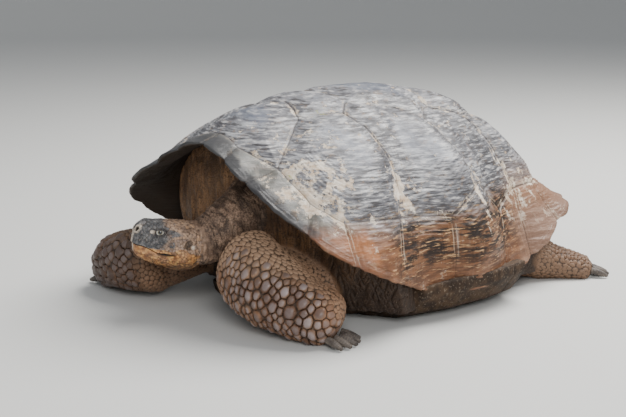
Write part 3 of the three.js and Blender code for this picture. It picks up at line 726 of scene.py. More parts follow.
# %% Round bodies through stations
def spline(rows, t, by_distance):
    """A smooth curve through the rows, at t from 0 to 1."""
    rows = np.asarray(rows, float)
    rows = np.concatenate([[2 * rows[0] - rows[1]], rows, [2 * rows[-1] - rows[-2]]])
    p = np.asarray(t, float) * (len(rows) - 3)
    k = np.minimum(p.astype(int), len(rows) - 4)
    w = (p - k)[:, None]
    a, b, c, d = (rows[k + i] for i in range(4))
    if by_distance:             # gentler where stations lie unevenly
        gaps = np.sqrt(np.linalg.norm(np.diff(rows, axis=0), axis=1))
        first, second, third = (gaps[k + i][:, None] for i in range(3))
        out = ((b - a) / first - (c - a) / (first + second) + (c - b) / second) * second
        into = ((c - b) / second - (d - b) / (second + third) + (d - c) / third) * second
    else:
        out, into = (c - a) / 2, (d - b) / 2
    start = b * (2 * w**3 - 3 * w**2 + 1) + out * (w**3 - 2 * w**2 + w)
    return start + c * (3 * w**2 - 2 * w**3) + into * (w**3 - w**2)


class Limb:
    """A round body through stations of place, half width and half height, in mm."""

    def __init__(self, stations, side=1, roundness=(0.6, 0.6)):
        rows = np.array(stations, float) / 1000
        self.places, self.sizes = rows[:, :3] * (side, 1, 1), rows[:, 3:]
        self.roundness = roundness
        self.length = np.linalg.norm(np.diff(self.places, axis=0), axis=1).sum()

    def section(self, t):
        t = np.atleast_1d(np.asarray(t, float))
        ahead, behind = (spline(self.places, np.clip(t + d, 0, 1), True) for d in (1e-4, -1e-4))
        along = unit(ahead - behind)
        across = unit(np.cross([0, 0, 1], along))
        size = spline(self.sizes, t, False)
        return spline(self.places, t, True), along, across, np.cross(along, across), size

    def surface(self, t, turn, size=1.0, push=0.0):
        """Points, and the directions out of the surface, at t along it and turn round it."""
        at, along, across, up, sizes = self.section(t)
        wide, high = sizes[:, :1], sizes[:, 1:]
        c, s = np.cos(turn)[:, None], np.sin(turn)[:, None]
        ring = (across * wide * c + up * high * s) * size
        spot = at + along * push * sizes.min(1, keepdims=True) + ring
        return spot, unit(across * c / wide + up * s / high)

    def body(self, name, sides, steps):
        """A closed mesh of the body, with a rounded cap at each end."""
        turn = once_round(sides)
        cap = np.radians([78, 60, 42, 24, 10])
        places = [(0, math.cos(a), -self.roundness[0] * math.sin(a)) for a in cap]
        places += [(t, 1, 0) for t in np.linspace(0, 1, steps + 1)]
        places += [(1, math.cos(a), self.roundness[1] * math.sin(a)) for a in cap[::-1]]
        rings = [self.surface(np.full(sides, float(t)), turn, *place)[0] for t, *place in places]
        ends = [self.surface([end], np.zeros(1), 0, push)[0][0]
                for end, push in ((0, -self.roundness[0]), (1, self.roundness[1]))]
        return solid(name, *closed_rings(np.array(rings), *ends))

    def address(self, points, reach=0.05):
        """t, turn and height above the surface of each point; far points are 1 m above."""
        t, turn, above = np.zeros(len(points)), np.zeros(len(points)), np.ones(len(points))
        reach = reach + self.sizes.max()
        within = (points > self.places.min(0) - reach) & (points < self.places.max(0) + reach)
        near = np.flatnonzero(np.all(within, axis=1))
        samples = np.linspace(0, 1, 81)
        at, along, across, up, size = self.section(samples)
        for some in np.array_split(near, 1 + len(near) // 30000):
            k = np.argmin(((points[some][:, None] - at) ** 2).sum(-1), 1)
            offset = points[some] - at[k]
            c = (offset * across[k]).sum(1) / size[k, 0]
            s = (offset * up[k]).sum(1) / size[k, 1]
            beyond = (offset * along[k]).sum(1) / size[k].min(1)
            share = np.where(k == 0, self.roundness[0], np.where(k == 80, self.roundness[1], 5.0))
            rho = np.sqrt(c**2 + s**2 + (beyond / share) ** 2)
            t[some], turn[some] = samples[k], np.arctan2(s, c)
            above[some] = (rho - 1) * size[k].min(1)
        return t, turn, above


def solid(name, points, faces):
    """A closed mesh whose faces look outwards."""
    total = 0.0
    for group in faces:
        a = points[group[:, 0]]
        for i in range(1, group.shape[1] - 1):
            total += np.sum(a * np.cross(points[group[:, i]], points[group[:, i + 1]]))
    if total < 0:
        faces = [group[:, ::-1] for group in faces]
    return make_mesh(name, points, faces)


# %% Stations of the body, in millimetres: x, y, z, half width, half height
FORELEGS = {
    "left": (
        Limb([(225, -235, 105, 66, 58), (185, -345, 104, 76, 62), (140, -430, 120, 84, 88)]),
        Limb([(128, -448, 138, 80, 97), (205, -460, 114, 79, 90), (285, -438, 84, 73, 78),
              (350, -408, 58, 62, 62)]),
    ),
    "right": (
        Limb([(-225, -235, 110, 66, 58), (-232, -350, 100, 76, 64), (-225, -445, 100, 78, 76)]),
        Limb([(-215, -470, 98, 78, 80), (-280, -490, 92, 78, 78), (-345, -485, 76, 72, 70),
              (-388, -475, 52, 62, 60)]),
    ),
}
HIND_UPPER = [(165, 250, 110, 80, 62), (235, 350, 78, 84, 62), (290, 430, 48, 72, 54)]
HIND_LOWER = [(285, 425, 46, 68, 52), (330, 482, 30, 58, 40), (366, 520, 18, 52, 32)]
HINDLEGS = {"left": (Limb(HIND_UPPER), Limb(HIND_LOWER)),
            "right": (Limb(HIND_UPPER, -1), Limb(HIND_LOWER, -1))}
TAIL = Limb([(0, 400, 95, 40, 36), (4, 480, 66, 34, 30), (14, 540, 31, 22, 19),
             (24, 575, 9, 12, 11)])
NECK = Limb([(20, -240, 238, 84, 88), (14, -320, 250, 74, 78), (4, -390, 228, 62, 65),
             (-8, -440, 192, 57, 60), (-22, -480, 176, 52, 54)])
TRUNK = Limb([(0, -352, 240, 150, 130), (0, -340, 240, 240, 200), (0, -305, 240, 335, 270),
              (0, -230, 240, 420, 340), (0, -60, 240, 640, 520), (0, 230, 240, 640, 520),
              (0, 380, 240, 360, 330), (0, 440, 240, 260, 225), (0, 465, 240, 170, 140)],
             roundness=(0.08, 0.08))
# The head's stations: y, half width, top and bottom, in its own frame.
HEAD = [(-86, 20, 27, -22), (-78, 31, 35, -36), (-60, 40, 43, -48), (-35, 46, 48, -56),
        (-5, 54, 49, -64), (25, 60, 48, -69), (55, 57, 45, -66), (80, 48, 38, -50)]
HEAD_AT = np.array([-0.057, -0.543, 0.187])


def turned(axis, degrees):
    """The matrix of a turn about axis 0, 1 or 2."""
    c, s = math.cos(math.radians(degrees)), math.sin(math.radians(degrees))
    i, j = (axis + 1) % 3, (axis + 2) % 3
    frame = np.eye(3)
    frame[i, i], frame[j, j], frame[j, i], frame[i, j] = c, c, s, -s
    return frame


HEAD_FRAME = turned(2, -24) @ turned(0, -9)


def from_head(local):
    """From the head's own frame, where it looks along -Y, in millimetres."""
    return HEAD_AT + (np.asarray(local, float) / 1000) @ HEAD_FRAME.T


def to_head(points):
    return (points - HEAD_AT) @ HEAD_FRAME * 1000


# %% Bodies of the head and the trunk
SQUARENESS = 0.85               # of the head's sections: 1 is round, less is squarer


def head_body():
    t = np.linspace(0, 1, 61)
    y, wide, top, bottom = spline(HEAD, t, False).T[:, :, None]
    turn = once_round(120)
    c, s = (np.sign(f) * np.abs(f) ** SQUARENESS for f in (np.cos(turn), np.sin(turn)))
    rings = np.stack(np.broadcast_arrays(wide * c, y, np.where(s > 0, top, -bottom) * s), -1)
    points, faces = closed_rings(rings, (0, -90, 3), (0, 96, -8))
    return solid("head", from_head(points), faces)


def room_under_shell():
    """The space inside the shell down to the belly plate, clear of the bridges at its sides."""
    roof, floor = 0.0275, 0.0305
    radii = [0.05, 0.16, 0.3, 0.44, 0.57, 0.69, 0.79, 0.87, 0.93, 0.97, 1]
    rings = [dome_under(radius, once_round(180), roof) for radius in radii]
    rings = np.array([*rings, rings[-1] * (1, 1, 0) + (0, 0, floor)])
    side = ease(-0.17, -0.13, rings[..., 1]) * ease(0.24, 0.2, rings[..., 1])
    most = mix(0.6, 0.385, side)
    rings[..., 0] = np.clip(rings[..., 0], -most, most)
    return solid("room", *closed_rings(rings, last=(0, CROWN_Y, floor)))


def applied(made, kind, **settings):
    """The piece's mesh with one modifier worked in."""
    step = made.modifiers.new("step", kind)
    for key, value in settings.items():
        setattr(step, key, value)
    worked = made.evaluated_get(bpy.context.evaluated_depsgraph_get())
    done = bpy.data.meshes.new_from_object(worked)
    made.modifiers.clear()
    made.data = done
    return made


def trunk_body():
    trunk, room = TRUNK.body("trunk", 120, 60), room_under_shell()
    applied(trunk, "BOOLEAN", operation="INTERSECT", solver="EXACT", object=room)
    bpy.data.objects.remove(room)
    return trunk


# %% One skin
VOXEL = 0.003


def fused_body():
    """All bodies put in one mesh, and its inner faces lost in a voxel remesh."""
    bodies = [trunk_body(), head_body(), NECK.body("neck", 72, 40), TAIL.body("tail", 48, 30)]
    for name, pair in (*FORELEGS.items(), *HINDLEGS.items()):
        bodies += [limb.body(name, 72, 30) for limb in pair]
    points, triangles, base = [], [], 0
    for body in bodies:
        body.data.calc_loop_triangles()
        corners = np.empty(len(body.data.loop_triangles) * 3, np.int32)
        body.data.loop_triangles.foreach_get("vertices", corners)
        points.append(points_of(body))
        triangles.append(corners.reshape(-1, 3) + base)
        base += len(points[-1])
        bpy.data.objects.remove(body)
    heap = make_mesh("skin", np.concatenate(points), triangles)
    return applied(heap, "REMESH", mode="VOXEL", voxel_size=VOXEL)


skin = fused_body()
print("fused faces:", len(skin.data.polygons))

# %% [markdown]
# The voxel remesh leaves fine steps and sharp creases. Living skin has neither: it
# stretches over a crease like cloth. Moving points towards their neighbours' mean
# smooths everything, and doing it only where the skin is hollow fills the creases.

# %% Smoothing, and finer points on the head
def set_points(made, points):
    made.data.vertices.foreach_set("co", np.asarray(points, np.float32).ravel())
    made.data.update()


def normals_of(made):
    flat = np.empty(len(made.data.vertices) * 3, np.float32)
    made.data.vertex_normals.foreach_get("vector", flat)
    return flat.reshape(-1, 3).astype(float)


def smoothed(made, steps, hollows_only=False):
    """Moves each point half way to its neighbours' mean, step by step."""
    ends = np.empty(len(made.data.edges) * 2, np.int32)
    made.data.edges.foreach_get("vertices", ends)
    a, b = ends.reshape(-1, 2).T
    points = points_of(made)
    count = len(points)
    degree = (np.bincount(a, minlength=count) + np.bincount(b, minlength=count))[:, None]
    for step in range(steps):
        if hollows_only and step % 6 == 0:
            set_points(made, points)
            normals = normals_of(made)
        sums = [np.bincount(a, points[b, i], count) + np.bincount(b, points[a, i], count)
                for i in range(3)]
        pull = np.stack(sums, -1) / degree - points
        if hollows_only:
            pull = normals * np.maximum(0, (pull * normals).sum(1, keepdims=True))
        points += 0.5 * pull
    set_points(made, points)


def finer(made, chosen):
    """Splits every edge between two chosen points."""
    grid = bmesh.new()
    grid.from_mesh(made.data)
    edges = [edge for edge in grid.edges if all(chosen[point.index] for point in edge.verts)]
    bmesh.ops.subdivide_edges(grid, edges=edges, cuts=1, use_grid_fill=True)
    grid.to_mesh(made.data)
    grid.free()


def thinned(made, hidden, share):
    """Joins points up where nobody sees them."""
    group = made.vertex_groups.new(name="hidden")
    group.add(np.flatnonzero(hidden).tolist(), 1.0, "REPLACE")
    keep = 1 - share * hidden.mean()
    applied(made, "DECIMATE", ratio=keep, vertex_group="hidden", use_collapse_triangulate=False)
    made.vertex_groups.clear()


def on_foreleg(places, part):
    """Which points lie on the upper (0) or lower (1) part of a foreleg."""
    return np.min([pair[part].address(places)[2] for pair in FORELEGS.values()], axis=0) < 0.006


places = points_of(skin)
thinned(skin, (places[:, 1] > -0.15) & (places[:, 1] < 0.24), 0.85)
smoothed(skin, 4)
smoothed(skin, 50, hollows_only=True)
places = points_of(skin)
x, y, z = places.T
on_upper, on_lower = on_foreleg(places, 0), on_foreleg(places, 1)
mouth_of_shell = (y < -0.28) & (z > 0.06) & (np.abs(x) < 0.34)
finer(skin, (on_lower & (y < -0.35)) | (mouth_of_shell & ~on_upper))
smoothed(skin, 3)
local = to_head(points_of(skin))
finer(skin, np.all(np.abs(local - (0, -50, 5)) < (75, 48, 60), axis=1))
smoothed(skin, 2)
print("skin faces:", len(skin.data.polygons))

# %% [markdown]
# ## The skin's relief
# On the front of the forelegs lie big oval plates like cobbles, round them and on the
# head smaller ones, and the rest is fine grain, thrown into folds round the neck and
# hanging folds under the shell. Scales touch but never overlap, so they behave like
# bubbles pushed together: seeds are dropped one by one, each keeping a distance of its
# own size, and every point of the skin belongs to the seed that is nearest for its size.

# %% Scales
TIGHT = 0.85                    # distance of two seeds, as a share of their radii together


def packed(spots, radii, first=()):
    """Spots that each keep their own radius free, and their radii, after the first ones."""
    free = np.ones(len(spots), bool)
    chosen = []
    order = np.argsort(hashed(np.round(spots * 1e5).astype(np.int64), 81))
    spots, radii = spots[order], radii[order]

    def clear_of(spot, radius):
        return np.linalg.norm(spots - spot, axis=1) > TIGHT * (radius + radii)

    for spot, radius in first:
        free &= clear_of(spot, radius)
    while free.any():
        k = int(np.argmax(free))
        chosen.append(k)
        free &= clear_of(spots[k], radii[k])
    return spots[chosen], radii[chosen]


def nearest_two(points, seeds, radii):
    """Distance to the nearest seed and to the next, in the seed's own radius, and which it is."""
    near, after, which = (np.empty(len(points)) for _ in range(3))
    seeds32, squares = seeds.astype(np.float32), (seeds**2).sum(1)
    for some in np.array_split(np.arange(len(points)), 1 + len(points) * len(seeds) // 12_000_000):
        p = points[some]
        product = p.astype(np.float32) @ seeds32.T
        square = (p**2).sum(1)[:, None] + squares - 2 * product
        gap = np.sqrt(np.maximum(square, 1e-12)) / radii
        k = np.argmin(gap, 1)
        near[some], which[some] = gap[np.arange(len(some)), k], k
        gap[np.arange(len(some)), k] = 9
        after[some] = gap.min(1)
    return near, after, which.astype(int)


def scaly(points, radii, axis=None, stretch=1.0, first=()):
    """Packed scales over the points. Returns height in metres, how domed, radius and seed."""
    if axis is not None:
        points = points + np.outer(points @ axis, axis) * (stretch - 1)
        first = [(spot + axis * (spot @ axis) * (stretch - 1), radius) for spot, radius in first]
    seeds, sizes = packed(points[::2], radii[::2], first)
    if first:
        seeds = np.concatenate([[spot for spot, _ in first], seeds])
        sizes = np.concatenate([[radius for _, radius in first], sizes])
    # Work about the middle of the patch, where short floats are exact enough.
    middle = points.mean(0)
    near, after, which = nearest_two(points - middle, seeds - middle, sizes)
    edge = after - near
    dome = ease(0.0, 0.36, edge) * (1 - 0.5 * np.minimum(near, 1.25) ** 2)
    height = dome * sizes[which]
    if axis is not None:            # the end of a scale that points to the foot stands off
        lean = (points - seeds[which]) @ axis / sizes[which]
        height = height * (1 + 0.4 * np.clip(lean, -1, 1))
    return height, dome, sizes[which], hashed(np.stack([which] * 3, -1), 83)


def creases(points, width, seed, sharp=0.2):
    """1 along thin wandering lines, 0 between them."""
    return bell(noise(points, width, seed), sharp)


def grain(points, size, seed):
    """Small bumps side by side, from 0 in the grooves to 1."""
    p = points / size
    base = np.floor(p).astype(np.int64)
    near, after = np.full(len(p), 9.0), np.full(len(p), 9.0)
    for k in range(27):
        cell = base + np.array([k % 3 - 1, k // 3 % 3 - 1, k // 9 - 1])
        spot = cell + np.stack([hashed(cell, seed + i) for i in range(3)], -1) * 0.8 + 0.1
        gap = np.linalg.norm(p - spot, axis=1)
        after = np.minimum(after, np.maximum(near, gap))
        near = np.minimum(near, gap)
    return ease(0.0, 0.35, after - near)


# %% Parts of the skin
HEAD_TABLE = spline(HEAD, np.linspace(0, 1, 200), False)


def above_head(local):
    """Height in mm above the head's smooth shape."""
    x, y, z = local.T
    wide, top, bottom = (np.interp(y, HEAD_TABLE[:, 0], HEAD_TABLE[:, i]) for i in (1, 2, 3))
    high = np.where(z > 0, top, -bottom)
    c, s = (np.abs(x) / wide) ** (1 / SQUARENESS), (np.abs(z) / high) ** (1 / SQUARENESS)
    out = ((c**2 + s**2) ** (SQUARENESS / 2) - 1) * np.minimum(wide, high)
    beyond = np.maximum(0, np.maximum(y - 92, -90 - y))
    return np.hypot(np.maximum(out, 0), beyond) + np.minimum(out, 0)


points, normals = points_of(skin), normals_of(skin)
local = to_head(points)
on_head = ease(14, 2, above_head(local)) * ease(104, 84, local[:, 1])
neck_t, neck_turn, above = NECK.address(points)
on_neck = ease(0.014, 0.002, above) * (1 - on_head)
tail_t, _, above = TAIL.address(points)
on_tail = ease(0.01, 0.002, above)
legs = {}
for kind, pairs in (("fore", FORELEGS), ("hind", HINDLEGS)):
    for name, (upper, lower) in pairs.items():
        upper_above = upper.address(points)[2]
        t, turn, lower_above = lower.address(points)
        share = ease(0.014, 0.002, np.minimum(upper_above, lower_above))
        share *= (1 - on_head) * (1 - 0.6 * on_neck)
        on_lower = ease(0.02, 0.0, lower_above - np.minimum(upper_above, 0.2))
        legs[kind, name] = (lower, t, turn, share, on_lower)
on_legs = np.clip(sum(leg[3] for leg in legs.values()), 0, 1)
on_wall = np.clip(1 - on_head - on_neck - on_tail - on_legs, 0, 1)
parts = {"head": on_head, "neck": on_neck, "legs": on_legs, "wall": on_wall}
print("points on each part:", {name: int((part > 0.5).sum()) for name, part in parts.items()})

# %% Scales of the legs
height, dome = np.zeros(len(points)), np.ones(len(points))
size_of, tone = np.zeros(len(points)), np.zeros(len(points))


def lay(some, share, rise, domes, sizes, tones):
    """Lays scales over some points, each by its share."""
    height[some] += share * rise
    dome[some] = mix(dome[some], domes, share)
    size_of[some] = mix(size_of[some], sizes, share)
    tone[some] = mix(tone[some], tones, share)


# Rows run round the forearm and columns along it: first and last turn, rows, first and last
# t, columns.
BIG_SCALES = {"left": (122, 236, 5, 0.06, 1.0, 6), "right": (58, -50, 4, 0.14, 1.0, 5)}


def varied(index):
    """A number from 0 to 1, the same as in the solids, that differs from scale to scale."""
    return abs(math.sin(index * 12.9898) * 43758.5453) % 1


def big_scales(name, lower):
    """The largest scales, where the plain solids carry them too."""
    start, end, rows, near, far, columns = BIG_SCALES[name]
    found = []
    for row in range(rows):
        for column in range(columns):
            index = row * columns + column + 1
            along = (column + (row % 2) / 2 + 0.3 * (varied(index) - 0.5)) / (columns - 0.5)
            round_it = (row + 0.25 * (varied(index + 100) - 0.5)) / (rows - 1)
            turn = math.radians(mix(start, end, round_it))
            middling = math.sin(math.pi * (row + 1.2) / (rows + 1.4))
            middling *= 0.75 + 0.25 * varied(index + 200)
            spot = lower.surface([min(mix(near, far, along), 1)], np.array([turn]))[0][0]
            found.append((spot, mix(0.0105, 0.0155, middling)))
    return found


# Where the big scales face, by the turn round the lower leg in degrees.
FACES = {("fore", "left"): 182, ("fore", "right"): 2, ("hind", "left"): 90, ("hind", "right"): 90}
RADII = {"upper": 0.0036, "lower": 0.0046, "fore": 0.0106, "hind": 0.0075}

for (kind, name), (lower, t, turn, share, on_lower) in legs.items():
    some = np.flatnonzero((share > 0.02) & (points[:, 2] > -0.002))
    off_face = np.abs(np.angle(np.exp(1j * (turn[some] - math.radians(FACES[kind, name])))))
    facing = ease(math.radians(80), math.radians(38), off_face)
    facing = facing * on_lower[some] * ease(-0.06, 0.16, t[some])
    radii = mix(mix(RADII["upper"], RADII["lower"], on_lower[some]), RADII[kind], facing)
    radii = radii * (1 + 0.1 * noise(points[some], 0.03, 91))
    axis = unit(lower.places[-1] - lower.places[0])
    first = big_scales(name, lower) if kind == "fore" else ()
    upper = facing < 0.4
    for part, stretch, big in ((upper, 0.7, ()), (~upper, 1.25, first)):
        these = some[part]
        rise, *others = scaly(points[these], radii[part], axis, stretch, big)
        lay(these, share[these], rise * mix(0.46, 0.60, facing[part]), *others)
    print(kind, name, "scaled points:", len(some))

# %% [markdown]
# ### The head
# The head is what everyone looks at, so its features are placed one by one in its own
# frame: lids round the eyes, nostrils, the cutting edge of the beak over the mouth line,
# the cheek muscles and the ear drums. Each is a small push along the skin or a colour
# zone with a soft edge, and the fine scales are laid over them.

# %% Forms of the head
EYE_AT, EYE_RADIUS = np.array([34.0, -30.0, 25.0]), 14.0
EYE_LOOK = unit(np.array([0.94, -0.26, 0.12]))
# How far each form stands out, its middle and its spread, in mm on the left half.
FORMS = {
    "bulge of the snout": (5.0, (8, -62, 40), (17, 15, 13)),
    "back of the crown": (3.6, (6, 30, 48), (24, 26, 15)),
    "brow over the eye": (3.4, (31, -26, 46), (12, 22, 7)),
    "hollow before the eye": (-2.2, (46, -60, 12), (14, 14, 16)),
    "hollow of the temple": (-1.8, (52, 4, 34), (14, 18, 14)),
    "jaw muscle": (3.2, (60, 34, -26), (22, 26, 20)),
    "cheek ridge": (1.6, (52, -18, -8), (16, 24, 8)),
    "throat": (-2.0, (30, 0, -60), (26, 50, 14)),
    "narrow muzzle": (-3.0, (24, -82, 16), (9, 9, 16)),
}

head_points = np.flatnonzero(on_head > 0.01)
q = local[head_points]
folded = np.stack([np.abs(q[:, 0]), q[:, 1], q[:, 2]], -1)      # both sides laid on the left
x, y, z = folded.T


def lump(place, spread):
    """1 at a place, falling off over spread, in mm."""
    return np.exp(-(((folded - place) / spread) ** 2).sum(1))


pushed = sum(rise * lump(place, spread) for rise, place, spread in FORMS.values())
print("forms of the head push the skin by", np.round([pushed.min(), pushed.max()], 1), "mm")

# %% Mouth: the upper beak's sharp edge overhangs the lower jaw
MOUTH_LINE = [(-110, -11), (-84, -11), (-66, -12), (-48, -18), (-32, -25), (-12, -27), (10, -24)]
line_y, line_z = np.array(MOUTH_LINE, float).T
over = z - np.interp(y, line_y, line_z)
along_mouth = ease(12, 2, y)
gape = 1.3 + 3.3 * bell(y + 14, 15)                              # half height of the opening
mouth = along_mouth * bell(over, gape, 4)
lip_folds = bell(over + 9, 2.2) * ease(-52, -30, y) * along_mouth
pushed += 1.7 * along_mouth * ease(0.2, 1.2, over / gape) * ease(15, 2, over)
pushed -= 1.2 * along_mouth * ease(-0.2, -1.2, over / gape) * ease(-16, -3, over)
pushed -= 5.6 * mouth + 1.3 * lip_folds

# %% Nostrils and ear drums
hole = np.linalg.norm((folded - (15.5, -81.5, 24.5)) * (1.0, 0.56, 0.76), axis=1)
nostril = ease(4.6, 3.4, hole)
pushed += 1.4 * bell(hole - 6.2, 1.7) - 7.0 * nostril
drum = np.hypot((y - 37) / 10.5, (z - 4) / 12)
on_side = ease(30, 44, x)
pushed += on_side * (1.1 * bell(drum - 1.15, 0.2) - 2.2 * ease(1.1, 0.75, drum))

# %% Eyelids: close over the ball, dipping behind it inside the opening
LID_RADIUS, BEHIND_BALL = 15.4, 12.4
forward = unit(np.cross(EYE_LOOK, [0, 0, 1]))
upward = np.cross(forward, EYE_LOOK)
from_eye = folded - EYE_AT
ball = np.linalg.norm(from_eye, axis=1)
on_ball = from_eye * (15.2 / ball)[:, None]                      # where it lands on the lids
level, rise, facing = on_ball @ forward, on_ball @ upward, from_eye @ EYE_LOOK
half_long, half_high = np.where(level > 1, 13.4, 10.6), np.where(rise > 0, 4.5, 6.2)
almond = np.hypot((level - 1) / half_long, (rise + 0.12 * level) / half_high)
outer = ease(0, 4, facing) * ease(24, 18, ball)
opening = ease(1.07, 0.95, almond) * outer
on_lid = ease(2.3, 1.6, almond) * outer
margin = bell(almond - 1.2, 0.14) * outer
lid_fold = bell(almond - 1.72, 0.11) + 0.8 * bell(almond - 2.2, 0.12)
radius = mix(ball, LID_RADIUS + 1.3 * margin, on_lid)
radius = np.maximum(radius, LID_RADIUS * ease(-3, 1, facing) * (1 - opening))
radius = mix(radius, np.minimum(ball, BEHIND_BALL), opening)
moved = from_eye * (radius / ball - 1)[:, None]
moved[:, 0] *= np.where(q[:, 0] < 0, -1, 1)
pushed = pushed * (1 - on_lid) - 0.7 * lid_fold * outer
print("points in the eye openings:", int((opening > 0.5).sum()))

# %% Scales of the head, and its folds
broad, narrow = noise(q, 14, 101), noise(q, 9, 102)
beak = ease(-26, -46, y) * ease(12.5, 9, over + narrow) * ease(-17, -12, over)
radii = mix(3.1, 4.3, ease(24, 36, z)) - 0.8 * ease(-30, -45, z)
radii = mix(radii, 1.7, on_lid) * (1 + 0.12 * broad)
fine, domes, sizes, tones = scaly(points[head_points], radii / 1000)
plain = (1 - beak) * (1 - mouth) * (1 - opening) * (1 - nostril)
throat_folds = ease(4, 12, -over) * ease(-62, -35, y)
throat_folds = throat_folds * creases(q * (1.0, 0.25, 1.7), 9.0, 104, 0.17)
neck_folds = ease(44, 64, y) * creases(q * (0.3, 1.4, 0.3), 9.0, 105, 0.2)
pushed += 300 * fine * plain
pushed -= 0.54 * beak * creases(q * (1, 1, 0.12), 3.0, 103, 0.12)
pushed -= 1.9 * throat_folds + 2.8 * neck_folds
share = on_head[head_points]
lay(head_points, share, 0 * fine, mix(1, domes, plain), sizes, tones)
points[head_points] += (moved / 1000 @ HEAD_FRAME.T) * share[:, None]
height[head_points] += share * pushed / 1000

# %% Colour zones of the head
under_line = np.minimum(over, z + 13 + 3 * narrow)
mottled = 0.45 * (tones - 0.5) + 0.25 * narrow


def broken(zone, low, high):
    """The zone with its border broken up scale by scale."""
    return ease(low, high, zone + mottled * (1 - np.abs(2 * zone - 1)) * 1.3)


grey = ease(26, -44, y + 16 * broad + 6 * narrow - 0.4 * z) * ease(-5, 3, under_line)
grey = broken(grey * (1 - 0.5 * ease(26, 40, z) * ease(-40, -12, y)), 0.3, 0.7)
grey = np.maximum(grey, on_lid * 0.9)
tan = ease(3, -5, under_line + 2 * broad) * ease(84, 50, y + 8 * broad)
cheek = lump((58, 24, -16), (16, 16, 13)) * (1 - ease(1.2, 0.9, drum) * on_side)
tan = np.maximum(tan, ease(0.25, 0.7, cheek + 0.2 * narrow))
tan = broken(tan, 0.25, 0.75) * (0.75 + 0.25 * broad)
strip = ease(-76, -86, y + 4 * narrow) * ease(11, 5, x + 3 * broad) * ease(26, 18, z)
corner = np.hypot((from_eye @ forward - 16) / 8.0, (from_eye @ upward + 1.5) / 4.2)
corner = ease(1.2, 0.8, corner) * ease(-10, -5, facing) * ease(30, 24, ball)
spot = bell(np.linalg.norm(folded - (58, 47, 0), axis=1), 5.0, 4)
ring = ease(10.5, 6.5, hole + 1.5 * narrow)
pale = np.maximum.reduce([0.8 * strip, 0.8 * ring, corner, 0.9 * spot])
in_drum = 0.75 * ease(1.1, 0.8, drum) * on_side * (1 - spot)
# Painted shade: near black in the mouth gap, the nostrils, the eye openings and the hollows of the
# ear drums.
recess_shade = np.maximum.reduce([mouth, ease(5.0, 4.1, hole), opening, in_drum])
# Painted shade in the folds of throat and neck, and a darker tone on the eyelids.
crease = 0.8 * throat_folds + 0.7 * neck_folds + 0.55 * on_lid


def over_skin(zone):
    """A zone's values on the whole skin, from those on the head."""
    whole = np.zeros(len(points))
    whole[head_points] = np.clip(zone, 0, 1) * share
    return whole


zones = {"grey": grey, "tan": tan, "pale": pale, "recess_shade": recess_shade, "crease": crease}
zones = {name: over_skin(zone) for name, zone in zones.items()}
print("points in each zone:", {name: int((zone > 0.5).sum()) for name, zone in zones.items()})

# %% Folds of the neck and under the shell
along_neck = neck_t * NECK.length / 0.011 + 0.8 * noise(points, 0.05, 111)
rings = np.stack([along_neck, 1.4 * np.cos(neck_turn), 1.4 * np.sin(neck_turn)], -1)
ring_crease = creases(rings, 1.0, 112, 0.22)
long_crease = creases(points * (1, 1, 0.6), 0.012, 113, 0.16)
neck_crease = np.maximum(ring_crease, 0.6 * long_crease)
height -= on_neck * (0.0024 * neck_crease - 0.0008)
drooped = points + shaken(points * (1, 1, 0.3), 0.05, (114, 115, 116)) * 0.012
hanging = creases(drooped * (1, 1, 0.17), 0.013, 117, 0.24)
hanging = np.maximum(hanging, 0.7 * creases(drooped * (1, 1, 0.25), 0.007, 118, 0.2))
in_front = ease(-0.16, -0.22, points[:, 1])
height -= on_wall * (mix(0.0016, 0.0036, in_front) * hanging - 0.0010)
height += on_wall * 0.0025 * noise(points * (1, 1, 0.3), 0.035, 119)
# The folds also go into the crease zone, which the finish darkens as painted shade.
folds = on_neck * neck_crease + 0.75 * on_wall * hanging
zones["crease"] = np.clip(zones["crease"] + folds, 0, 1)
print("points in folds:", int((folds > 0.5).sum()))

# %% Fine grain where no larger scales lie
others = on_neck + on_wall + on_tail
in_sight = (points[:, 1] < -0.16) | (points[:, 1] > 0.28)
bare = np.flatnonzero((others > 0.05) & in_sight)
small = grain(points[bare], 0.0055, 121)
lay(bare, np.clip(others, 0, 1)[bare], 0.0007 * small, small, 0.003, 0.5)
along_tail = np.outer(tail_t * TAIL.length / 0.012, (1, 0, 0))
height -= on_tail * 0.0012 * creases(along_tail, 1.0, 123, 0.3)
height += 0.0016 * noise(points, 0.045, 124) * (1 - on_head)

# %% Lay the relief on the skin
points += normals * height[:, None]
points[:, 2] = np.maximum(points[:, 2], 0)
set_points(skin, points)
laid = {"dome": dome, "size": size_of * 100, "tone": tone, "neck": on_neck, "wall": on_wall,
        "leg": on_legs, "face": on_head, **zones}
carry(skin, laid)
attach(skin, "root")
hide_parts("torso", "neck", "head", "foreleg_left", "foreleg_right",
            "hindleg_left", "hindleg_right", "tail")
print("relief from", *np.round(1000 * np.percentile(height, (0, 100)), 1), "mm")

# %% [markdown]
# ## Eyes, claws and belly plate
# These are hard or wet parts of their own, set into the skin. Each eye is a ball with a
# clear bulge over a dark pupil. Claws are blunt cones of ridged horn, flat below. The
# belly plate is the shell's lower half, with the seams of its own plates.

